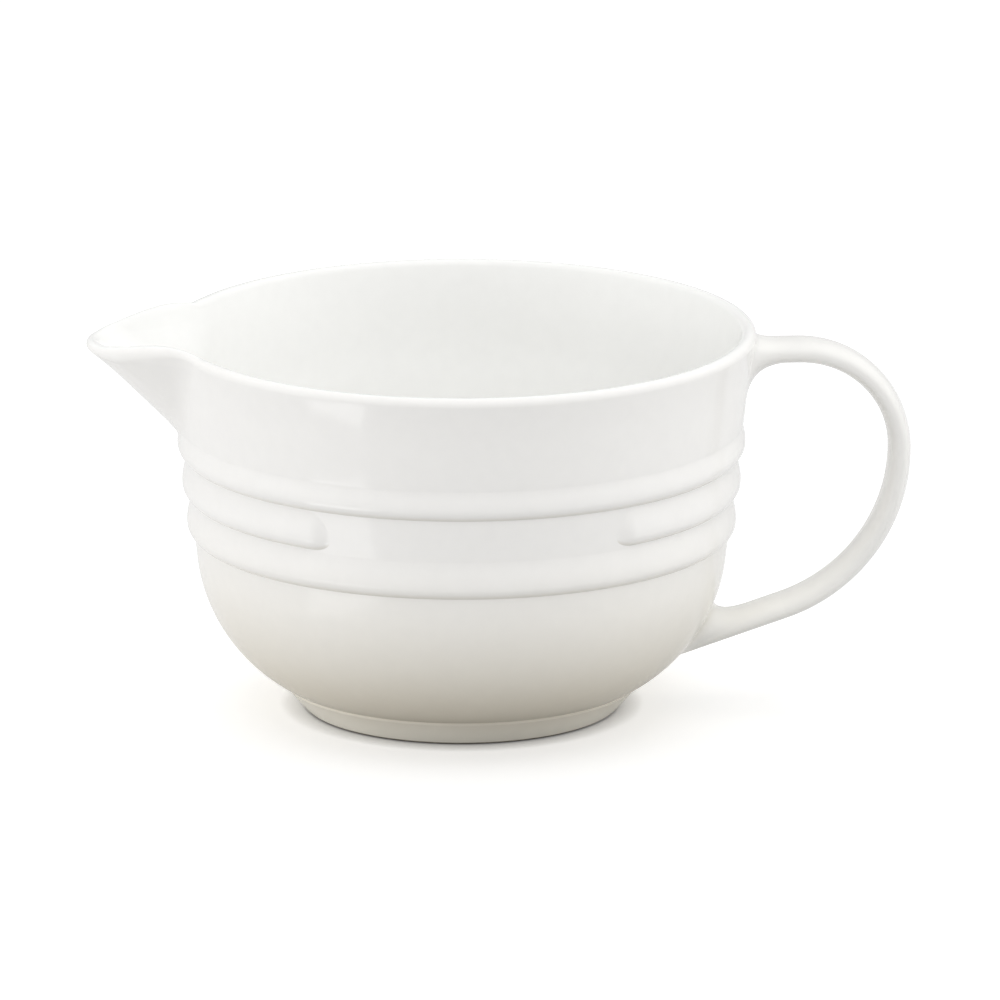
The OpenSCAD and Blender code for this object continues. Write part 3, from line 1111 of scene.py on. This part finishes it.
@dataclass
class Bands:
    """The three raised bands, each a soft strip laid round the leaning wall by one node tree.

    Args:
        form: the shared shapes.
        glaze: the finish.
        panel: angle of the bare panel between the middle band's round ends, in degrees.
        columns: columns along a band.
        rows: rows across a band's face.
        depth: how far a band's back lies below the wall.
        round_end: length over which the middle band's ends sink to the wall.
        gather: how far the columns draw together at those ends, where 1 is all the way.
        bunch: how far the rows draw together at the lower edge, where 1 is not at all.
        no_seat: a height above all bands, for those that the spout's seat doesn't cut.
    """

    form: BowlForm
    glaze: Glaze = CREAM
    panel: float = 62.6
    columns: int = 721
    rows: int = 40
    depth: float = 0.4
    round_end: float = 8.0
    gather: float = 0.97
    bunch: float = 1.6
    no_seat: float = 1000.0

    def tree(self) -> Tree:
        """Builds the tree that lays a strip round the wall.

        Returns:
            The tree.
        """
        sizes = (
            "Wall radius", "Middle height", "Lean", "Stand-out", "Crest drop", "Low flank", "Top flank",
            "Top stand-out", "Side flank", "Edge", "Sink", "Depth", "Start", "Sweep", "Round ends",
            "Seat height", "Seat slope",
        )
        made = Tree("band_strip", {**{s: "Float" for s in sizes}, "Columns": "Int", "Glaze": "Material"})
        size = made.size
        last = self.rows + 2
        columns = made.start.outputs["Columns"]
        grid = made.node("MeshGrid", Size_X=1.0, Size_Y=1.0, Vertices_Y=last + 1, Vertices_X=columns)
        x, y, _ = made.place()
        t = x + 0.5
        row = (y + 0.5) * float(last)
        ease = (t * math.tau).math("SINE") * size("Round ends") * (self.gather / math.tau)
        angle = size("Start") + (t - ease) * size("Sweep")
        cap = size("Side flank") / size("Wall radius") * size("Round ends")
        before = size("Start") + cap - angle
        after = angle - size("Start") - size("Sweep") + cap
        past = before.math("MAXIMUM", after).math("MAXIMUM", 0.0) * size("Wall radius") * size("Round ends")
        past = (past / size("Side flank")).math("MINIMUM", 1.0)
        taper = (past * past * -1.0 + 1.0).root()

        def hump(v: Field) -> Field:
            """Half a wave, from 1 at 0 to 0 at 1."""
            return (v * math.pi).math("COSINE") * 0.5 + 0.5

        def fall(v: Field) -> Field:
            """Share of the way from the crest at v = 0 down to the band's lower edge."""
            flank = size("Low flank") * taper.math("MAXIMUM", 0.001)
            return ((v * -1.0).math("MAXIMUM", 0.0) / flank).math("MINIMUM", 1.0)

        def rise(v: Field) -> Field:
            """How far the band stands out at the distance v above its crest."""
            climb = (v.math("MAXIMUM", 0.0) / size("Top flank")).math("POWER", 2.0) + past * past
            over = size("Stand-out") - size("Top stand-out")
            high = hump(climb.root().math("MINIMUM", 1.0)) * over + size("Top stand-out")
            drop = fall(v)
            edge = (drop * drop * -1.0 + 1.0).math("MAXIMUM", 0.0).math("POWER", size("Edge"))
            return v.math("GREATER_THAN", 0.0).choose(high, edge * hump(past) * size("Stand-out"))

        low = (size("Low flank") * taper + size("Crest drop")) * -1.0
        high = size("Top flank") * taper - size("Crest drop")
        side = angle.math("SINE").math("ABSOLUTE")
        far = angle.math("COSINE").math("GREATER_THAN", 0.0)
        reach = size("Wall radius") + size("Stand-out")
        cut = size("Seat slope") * side * reach + size("Seat height") + far - size("Middle height")
        lean_s, lean_c = size("Lean").math("SINE"), size("Lean").math("COSINE")
        bow = rise(cut + size("Crest drop")) * lean_s
        high = high.math("MINIMUM", (cut + bow) / lean_c)
        front = row.math("LESS_THAN", self.rows - 0.5)
        at_top = row.math("LESS_THAN", self.rows + 0.5)
        share = front.choose((row / float(self.rows - 1)).math("POWER", self.bunch), at_top)
        s = low + (high - low) * share
        back = row.math("GREATER_THAN", self.rows - 0.5) * row.math("LESS_THAN", self.rows + 1.5)
        v = s + size("Crest drop")
        d = back.choose(size("Depth") * -1.0, rise(v) - size("Sink"))
        r = size("Wall radius") + s * lean_s + d * lean_c
        z = size("Middle height") + s * lean_c - d * lean_s
        # This mark rises from the middle of each band's lower flank to 1 at its lower edge. It carries glaze
        # pooling and painted shade.
        mesh = made.store(grid.outputs[0], "groove_pool_and_shade", (fall(v) * 2.0 - 1.0).math("MAXIMUM", 0.0))
        mesh = made.move(mesh, r * angle.math("COSINE"), r * angle.math("SINE"), z)
        made.finish(mesh, 40.0)
        return made

    def build(self) -> None:
        """Lays the three bands and dresses them."""
        f = self.form
        made = self.tree()
        base = bpy.data.meshes.new("band_base")
        for index, node in enumerate(("lower_band", "middle_band", "upper_band")):
            middle, upper = node == "middle_band", node == "upper_band"
            mid = f.band_mid(index)
            wall = float(f.line(mid))
            end = math.radians(self.panel / 2.0) + math.asin(f.band_pitch / 2.0 / wall)
            cap = self.round_end / wall
            start = -math.pi / 2.0 + end - cap if middle else 0.0
            piece = made.grow(node + "_strip", base, {
                "Wall radius": wall * MM,
                "Middle height": mid * MM,
                "Lean": f.lean,
                "Stand-out": f.band_bulge * MM,
                "Crest drop": f.band_crest * MM,
                "Low flank": (f.band_half - f.band_crest) * MM,
                "Top flank": (f.shoulder if upper else f.band_half + f.band_crest + f.band_groove) * MM,
                "Top stand-out": (f.wall_raise if upper else 0.0) * MM,
                "Side flank": self.round_end * MM,
                "Edge": f.band_edge,
                "Sink": f.band_sink * MM,
                "Depth": self.depth * MM,
                "Start": start,
                "Sweep": math.tau - 2.0 * (end - cap) if middle else math.tau,
                "Round ends": float(middle),
                "Seat height": (f.spout_z if upper else self.no_seat) * MM,
                "Seat slope": math.tan(f.seat_slope),
                "Columns": self.columns,
                "Glaze": self.glaze.material(),
            })
            settle(piece, node, Slot.CREAM, self.glaze)


@dataclass
class Foot:
    """The foot ring, an outline swept round the bowl's axis by a node tree.

    Args:
        form: the shared shapes.
        glaze: the finish.
        face_r: outside radius of the standing face.
        face_w: width of the standing face.
        edge: rounding of the lower outside edge.
        step: step in from the belly's lower edge.
        lip: height of the upright edge below that step.
        chamfer: chamfer of the lower inside edge.
        draft: draft of the inside.
        brow_r: rounding at the upper end of the ring's side.
        brow_up: how far the middle of that rounding lies above the side's end.
        overlap: how far the ring's top reaches into the body.
        columns: columns round the ring.
    """

    form: BowlForm
    glaze: Glaze = FOOT_GLAZE
    face_r: float = 53.5
    face_w: float = 5.0
    edge: float = 3.2
    step: float = 0.9
    lip: float = 1.2
    chamfer: float = 1.1
    draft: float = 2.0
    brow_r: float = 0.6
    brow_up: float = 0.35
    overlap: float = 0.05
    columns: int = 240

    def outline(self) -> np.ndarray:
        """Closed outline of the ring's section.

        Returns:
            Rows of radius, height and 0.
        """
        f = self.form
        inner = self.face_r - self.face_w
        top = np.array([f.heel_r - self.step, f.foot_h - self.lip])
        d = top - np.array([self.face_r, self.edge])
        end = math.degrees(math.atan2(d[1], d[0]) - math.acos(self.edge / np.linalg.norm(d)))
        side = arc((self.face_r, self.edge), self.edge, -90.0, end, 14)
        brow = arc((top[0] - self.brow_r, top[1] + self.brow_up), self.brow_r, -50.0, 0.0, 5)
        up = f.foot_h + self.overlap
        inside = [[inner - self.chamfer - self.draft, up], [inner - self.chamfer, self.chamfer], [inner, 0.0]]
        rz = np.concatenate([inside, side, brow, [[top[0], up]]])
        return np.concatenate([rz, np.zeros((len(rz), 1))], axis=1)

    def build(self) -> None:
        """Sweeps the ring and dresses it."""
        made = Tree("round_sweep", {"Columns": "Int", "Glaze": "Material"})
        outline = made.node("MeshToCurve", Mesh=made.start.outputs["Base"])
        circle = made.node("CurvePrimitiveCircle", Resolution=made.start.outputs["Columns"], Radius=MM)
        sweep = made.node("CurveToMesh", Curve=circle.outputs[0], Profile_Curve=outline.outputs[0])
        made.finish(sweep.outputs[0], 30.0)
        # The circle's radius is 1 mm, so the outline is drawn that much nearer the axis.
        # The sweep turns it over, so it is drawn upside down.
        points = self.outline() * np.array([1.0, -1.0, 1.0]) - np.array([1.0, 0.0, 0.0])
        base = line_mesh("foot_outline", points, True)
        piece = made.grow("foot_ring_sweep", base, {"Columns": self.columns, "Glaze": self.glaze.material()})
        settle(piece, "foot_ring", Slot.FOOT, self.glaze)


@dataclass
class Handle:
    """The strap handle and the two joints that spread from it onto the wall.

    Args:
        form: the shared shapes.
        glaze: the finish.
        reach: reach of the strap's outside beyond the lip.
        drop: depth of the strap's middle below the rim.
        width: width of the strap.
        thick: thickness of the strap.
        upper_bend: radius of the upper bend.
        lower_bend: radius of the lower bend.
        root_z: height where the strap's middle meets the belly.
        fall: fall of the lower run, in radians.
        square: how square the strap's section is, 1 for an ellipse.
        points: points round the section.
        upper_flare: flare of the upper joint above and below the strap.
        lower_flare: flare of the lower joint above and below the strap.
        side_flare: share of a joint's flare that goes to the sides.
        lip_clear: room left between the upper joint and the rim, as a share of the wall's thickness.
        end_run: straight run at either end of the strap, which squares its ends.
        tuck: how far a joint's edge lies below the wall.
        skirt: share by which that edge runs on outwards.
        hub_depth: how far the middle of a joint's back lies below the wall.
    """

    form: BowlForm
    glaze: Glaze = HANDLE_GLAZE
    reach: float = 54.0
    drop: float = 9.4
    width: float = 20.0
    thick: float = 7.9
    upper_bend: float = 35.4
    lower_bend: float = 60.0
    root_z: float = 22.0
    fall: float = math.radians(19.0)
    square: float = 0.84
    points: int = 72
    upper_flare: tuple[float, float] = (7.0, 14.0)
    lower_flare: tuple[float, float] = (21.0, 4.8)
    side_flare: float = 0.7
    lip_clear: float = 0.62
    end_run: float = 0.02
    tuck: float = 0.15
    skirt: float = 0.02
    hub_depth: float = 0.6

    @property
    def top_z(self) -> float:
        """Height of the level run's middle."""
        return self.form.bowl_h - self.drop

    @property
    def mid_x(self) -> float:
        """Reach of the strap's middle from the axis."""
        return self.form.rim_r + self.reach - self.thick / 2.0

    @property
    def low_z(self) -> float:
        """Height where the lower bend starts."""
        turn = math.pi / 4.0 - self.fall / 2.0
        root_x = float(self.form.wall(self.root_z))
        return self.root_z + (self.mid_x - root_x) * math.tan(self.fall) + self.lower_bend * math.tan(turn)

    def path(self) -> np.ndarray:
        """Middle line of the strap, from the upper joint round to the lower one.

        Returns:
            Rows of x, y and z.
        """
        over, under = self.mid_x - self.upper_bend, self.mid_x - self.lower_bend
        upper = arc((over, self.top_z - self.upper_bend), self.upper_bend, 90.0, 0.0, 90)
        lower = arc((under, self.low_z), self.lower_bend, 0.0, math.degrees(self.fall) - 90.0, 80)
        start = upper[:1] + [[self.end_run, 0.0]]
        end = lower[-1:] + np.array([math.cos(self.fall), math.sin(self.fall)]) * self.end_run
        xz = np.concatenate([upper[:1], start, upper[1:], lower[:-1], end, lower[-1:]])
        return np.stack([xz[:, 0], np.zeros(len(xz)), xz[:, 1]], axis=1)

    def section(self) -> np.ndarray:
        """Section of the strap as rows of width and thickness."""
        a = np.linspace(0.0, math.tau, self.points, endpoint=False)

        def oval(size: float, v: np.ndarray) -> np.ndarray:
            """One side of the section."""
            return size / 2.0 * np.sign(v) * np.abs(v) ** self.square

        return np.stack([oval(self.width, np.cos(a)), oval(self.thick, np.sin(a))], axis=1)

    def strap(self) -> bpy.types.Object:
        """Sweeps the strap along its path with a node tree.

        Returns:
            The piece.
        """
        sizes = {"Width": "Float", "Thickness": "Float", "Squareness": "Float"}
        made = Tree("strap_sweep", {**sizes, "Points": "Int", "Glaze": "Material"})
        path = made.node("MeshToCurve", Mesh=made.start.outputs["Base"])
        ring = made.node("CurvePrimitiveCircle", Resolution=made.start.outputs["Points"], Radius=1.0)
        x, y, _ = made.place()

        def oval(size: str, v: Field) -> Field:
            """One side of the section."""
            full = v.math("ABSOLUTE").math("POWER", made.size("Squareness"))
            return v.math("SIGN") * full * made.size(size) * 0.5

        section = made.move(ring.outputs[0], oval("Width", x), oval("Thickness", y), 0.0)
        sweep = made.node("CurveToMesh", Curve=path.outputs[0], Profile_Curve=section, Fill_Caps=True)
        made.finish(sweep.outputs[0], 50.0)
        return made.grow("handle_strap", line_mesh("strap_path", self.path(), False), {
            "Width": self.width * MM,
            "Thickness": self.thick * MM,
            "Squareness": self.square,
            "Points": self.points,
            "Glaze": self.glaze.material(),
        })

    def flare_rows(
        self,
        end: Sequence[float],
        slope: float,
        flares: tuple[float, float],
        ceiling: float,
    ) -> tuple[np.ndarray, np.ndarray]:
        """Rows of points that spread from the strap's end onto the wall.

        Args:
            end: x and z of the middle of the strap's end.
            slope: rise of the strap away from the bowl, in radians.
            flares: flare above and below the strap.
            ceiling: greatest height that the flare may reach.

        Returns:
            A spare row out along the strap, the strap's end, the flare, its edge on the wall and the edge
            tucked below it, each as points round the section, and the wall's outward directions there.
        """
        f = self.form
        s = self.section()
        d = np.array([math.cos(slope), math.sin(slope)])
        px = end[0] - s[:, 1] * d[1]
        pz = end[1] + s[:, 1] * d[0]
        y = s[:, 0]

        def on_wall(side: np.ndarray, z: np.ndarray) -> np.ndarray:
            """Reach of the wall at a distance from the middle plane and a height."""
            return np.sqrt(np.maximum(1.0, f.wall(z) ** 2 - side ** 2))

        mx = f.wall(pz)
        for _ in range(20):
            mz = pz + (mx - px) * d[1] / d[0]
            mx = on_wall(y, mz)
        mz = pz + (mx - px) * d[1] / d[0]
        w = np.stack([s[:, 0] / self.width, s[:, 1] / self.thick], axis=1)
        above, below = flares
        flare = below + (above - below) * step01(0.5 + w[:, 1])
        w = w / np.linalg.norm(w, axis=1, keepdims=True)
        tilt = np.arctan(f.wall(mz + 0.5) - f.wall(mz - 0.5))
        fz = np.minimum(mz + flare * w[:, 1] * np.cos(tilt), ceiling)
        fy = y + flare * w[:, 0] * self.side_flare
        foot = np.stack([on_wall(fy, fz), fy, fz], axis=1)
        meet = np.stack([mx, y, mz], axis=1)
        start = meet + flare[:, None] * np.array([d[0], 0.0, d[1]])
        strap = np.stack([px, y, pz], axis=1)
        out = f.wall_normal(fy, fz)
        rows = [strap + np.array([d[0], 0.0, d[1]]), strap, strap * 0.5 + start * 0.5]
        for t in np.linspace(0.0, 1.0, 21):
            rows.append((1 - t) ** 2 * start + 2 * t * (1 - t) * meet + t * t * foot)
        rows.append(foot + (foot - meet) * self.skirt - out * self.tuck)
        return np.stack(rows), out

    def joint(
        self,
        name: str,
        end: Sequence[float],
        slope: float,
        flares: tuple[float, float],
        ceiling: float,
    ) -> bpy.types.Object:
        """Builds the solid that spreads from the strap's flat end onto the wall.

        Args:
            name: the piece's name.
            end: x and z of the middle of the strap's end.
            slope: rise of the strap away from the bowl, in radians.
            flares: flare above and below the strap.
            ceiling: greatest height that the flare may reach.

        Returns:
            The piece.
        """
        lattice, out = self.flare_rows(end, slope, flares, ceiling)
        strap, foot = lattice[1], lattice[-2]
        wrapped = np.concatenate([lattice[:, -1:], lattice, lattice[:, :1]], axis=1)
        spare = np.concatenate([wrapped, wrapped[-1:] * 2.0 - wrapped[-2:-1]])
        normals = lattice_normals(spare)
        if float(np.mean(np.sum(normals[0] * (strap - strap.mean(axis=0)), axis=1))) < 0.0:
            normals = -normals
        normals[-2] = normals[-1] = out
        lattice = lattice[1:]
        count, n = lattice.shape[:2]
        hub_z = float(np.mean(foot[:, 2]))
        hub_x = float(self.form.wall(hub_z)) - self.hub_depth
        points = np.concatenate([lattice.reshape(-1, 3), [[end[0], 0.0, end[1]], [hub_x, 0.0, hub_z]]])
        ids = np.arange(count * n).reshape(count, n)
        faces = []
        for i in range(count - 1):
            for j in range(n):
                k = (j + 1) % n
                faces.append((ids[i, j], ids[i, k], ids[i + 1, k], ids[i + 1, j]))
        faces += [(count * n, ids[0, (j + 1) % n], ids[0, j]) for j in range(n)]
        faces += [(count * n + 1, ids[-1, j], ids[-1, (j + 1) % n]) for j in range(n)]
        caps = [[math.cos(slope), 0.0, math.sin(slope)], [-1.0, 0.0, 0.0]]
        away = np.repeat(step01(np.linspace(1.5, 0.0, count))[:, None], n, axis=1)
        return skin(
            name,
            points,
            faces,
            np.concatenate([normals.reshape(-1, 3), caps]),
            {"inside": np.concatenate([away.reshape(-1), [1.0, 0.0]])},
        )

    def build(self) -> None:
        """Builds the strap and its joints and dresses them."""
        f = self.form
        settle(self.strap(), "handle", Slot.HANDLE, self.glaze)
        path = self.path()
        below_lip = f.bowl_h - self.lip_clear * f.wall_t
        upper = self.joint("upper_handle_flare", path[0, [0, 2]], 0.0, self.upper_flare, below_lip)
        settle(upper, "upper_handle_joint", Slot.HANDLE, UPPER_JOINT)
        lower = self.joint("lower_handle_flare", path[-1, [0, 2]], self.fall, self.lower_flare, f.bowl_h)
        settle(lower, "lower_handle_joint", Slot.HANDLE, LOWER_JOINT)


@dataclass(frozen=True)
class Panel:
    """A soft lamp.

    Args:
        name: the lamp's name.
        size: its width and height in metres.
        place: its middle.
        aim: the point that it faces.
        light: its brightness, where 1 is white.
        up: the way that its height runs.
        mirrored: whether gloss shows it.
        lights: whether it lights what it faces, apart from gloss.
        on_floor: whether its light falls on the floor too.
        spread: the angle that its light opens to, in degrees.
    """

    name: str
    size: tuple[float, float]
    place: tuple[float, float, float]
    aim: tuple[float, float, float]
    light: float
    up: tuple[float, float, float] = (0.0, 0.0, 1.0)
    mirrored: bool = True
    lights: bool = True
    on_floor: bool = True
    spread: float = 180.0

    def hang(self, apart: bpy.types.Collection) -> None:
        """Adds the lamp to the scene.

        Args:
            apart: collection that keeps a lamp's light off the floor.
        """
        lamp = bpy.data.lights.new(self.name, "AREA")
        lamp.shape = "RECTANGLE"
        lamp.size, lamp.size_y = self.size
        lamp.energy = self.light * math.pi * self.size[0] * self.size[1]
        lamp.spread = math.radians(self.spread)
        holder = bpy.data.objects.new(self.name, lamp)
        holder.location = self.place
        back = (Vector(self.place) - Vector(self.aim)).normalized()
        side = Vector(self.up).cross(back).normalized()
        holder.rotation_euler = Matrix((side, back.cross(side), back)).transposed().to_euler()
        holder.visible_camera = False
        holder.visible_glossy = self.mirrored
        holder.visible_diffuse = self.lights
        if not self.on_floor:
            holder.light_linking.receiver_collection = apart
        bpy.context.scene.collection.objects.link(holder)


LEFT_FRONT = (-0.83, -0.55, 0.0)


@dataclass
class Studio:
    """The floor, the soft light and the camera.

    Args:
        world: brightness of the soft light from all sides.
        floor: how much light the floor gives back to the object.
        pale: how pale the floor is as it is seen.
        glow: what is added to the floor as it is seen, so that it is white outside the shadow.
        contact: how far from the foot ambient occlusion holds that white back, in metres, as a painted
            contact shadow on the floor.
        gloss: share of that white which gloss shows.
        half: half the floor's side, in metres.
        panels: the lamps.
        aim: point of the object in the middle of the picture, in millimetres.
        distance: distance of the camera, in millimetres.
        azimuth: the camera's angle round the object, in degrees.
        elevation: the camera's angle above the table, in degrees.
        lens: focal length on a 36 mm wide picture.
    """

    world: float = 0.445
    floor: float = 0.96
    pale: float = 0.88
    glow: float = 0.5
    contact: float = 0.007
    gloss: float = 0.3
    half: float = 4.0
    panels: tuple[Panel, ...] = (
        Panel(
            "overhead", (2.4, 2.0), (0.0, 0.3, 1.6), (0.0, 0.0, 0.05), 0.82,
            up=(0.0, 1.0, 0.0), mirrored=False,
        ),
        Panel(
            "left_side", (1.3, 0.44), (-1.4, -0.05, 0.23), (0.0, 0.0, 0.06), 4.0,
            mirrored=False, on_floor=False,
        ),
        Panel(
            "right_side", (1.3, 0.9), (1.4, 0.12, 0.55), (0.0, 0.0, 0.08), 1.92,
            mirrored=False, on_floor=False,
        ),
        Panel(
            "front", (1.8, 1.0), (0.2, -1.25, 1.2), (0.0, 0.0, 0.08), 1.82,
            mirrored=False, on_floor=False,
        ),
        Panel(
            "strip", (0.1, 0.1), (-0.17, -0.164, 0.004), (-0.17, -0.164, 1.0), 2.2,
            up=LEFT_FRONT, lights=False, spread=140.0,
        ),
    )
    aim: tuple[float, float, float] = (13.48, -0.71, 73.5)
    distance: float = 4500.0
    azimuth: float = -3.0
    elevation: float = 14.8
    lens: float = 461.7

    def seen(self, paint: Paint) -> bpy.types.NodeSocket:
        """Gives 1 for what the camera sees itself or through glass, and less for what it sees in gloss.

        Args:
            paint: the node tree of a material or the world.

        Returns:
            The socket that gives the number.
        """
        path = paint.add("LightPath", {})
        total = path.outputs["Is Camera Ray"]
        for label, weight in (("Is Glossy Ray", self.gloss), ("Is Transmission Ray", 1.0)):
            total = paint.math("MULTIPLY_ADD", path.outputs[label], weight, total, clamp=True)
        return total

    def sky(self) -> None:
        """Sets the even light all round, white to the eye."""
        world = bpy.data.worlds.new("studio")
        bpy.context.scene.world = world
        world.use_nodes = True
        paint = Paint(world.node_tree)
        back = world.node_tree.nodes["Background"]
        back.inputs["Color"].default_value = (1.0, 1.0, 1.0, 1.0)
        paint.feed(back.inputs["Strength"], paint.span(self.seen(paint), UNIT, (self.world, 1.0)))

    def ground(self) -> bpy.types.Collection:
        """Lays the pale floor. It keeps the object's shadow, and near the foot it shows a painted contact
        shadow where ambient occlusion holds back its added white.

        Returns:
            A collection that keeps a lamp's light off the floor.
        """
        mesh = bpy.data.meshes.new("floor")
        corners = [(x * self.half, y * self.half, 0.0) for x, y in ((-1, -1), (1, -1), (1, 1), (-1, 1))]
        mesh.from_pydata(corners, [], [(0, 1, 2, 3)])
        floor = bpy.data.objects.new("floor", mesh)
        bpy.context.scene.collection.objects.link(floor)
        material = bpy.data.materials.new("floor_white")
        material.use_nodes = True
        nodes = material.node_tree.nodes
        nodes.remove(nodes["Principled BSDF"])
        paint = Paint(material.node_tree)
        seen = self.seen(paint)
        matt = paint.add("BsdfDiffuse", {"Color": paint.span(seen, UNIT, (self.floor, self.pale))})
        # Painted contact shadow: ambient occlusion holds back the floor's added white near the foot.
        floor_contact_shade = paint.add("AmbientOcclusion", {"Distance": self.contact}).outputs["AO"]
        white = paint.math("MULTIPLY", paint.math("MULTIPLY", seen, self.glow), floor_contact_shade)
        light = paint.add("Emission", {"Strength": white})
        both = paint.add("AddShader", {0: matt.outputs[0], 1: light.outputs[0]})
        paint.feed(nodes["Material Output"].inputs["Surface"], both.outputs[0])
        mesh.materials.append(material)
        apart = bpy.data.collections.new("off_floor")
        apart.objects.link(floor)
        apart.collection_objects[0].light_linking.link_state = "EXCLUDE"
        return apart

    def camera(self) -> None:
        """Sets up the camera at the photograph's angle."""
        a, e = math.radians(self.azimuth), math.radians(self.elevation)
        aim = Vector(self.aim) * MM
        way = Vector((math.sin(a) * math.cos(e), -math.cos(a) * math.cos(e), math.sin(e)))
        data = bpy.data.cameras.new("camera")
        data.sensor_width = 36.0
        data.lens = self.lens
        holder = bpy.data.objects.new("camera", data)
        holder.location = aim + way * self.distance * MM
        holder.rotation_euler = (-way).to_track_quat("-Z", "Y").to_euler()
        bpy.context.scene.collection.objects.link(holder)
        bpy.context.scene.camera = holder

    def build(self) -> None:
        """Builds the whole studio."""
        bpy.context.scene.view_settings.view_transform = "Standard"
        self.sky()
        apart = self.ground()
        for panel in self.panels:
            panel.hang(apart)
        self.camera()


def main() -> None:
    """Builds the object and the studio."""
    logging.basicConfig(level=logging.INFO, format="%(name)s: %(message)s")
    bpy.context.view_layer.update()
    form = BowlForm()
    Vessel(form).build()
    Bands(form).build()
    Foot(form).build()
    Handle(form).build()
    Studio().build()


if __name__ == "__main__":
    main()
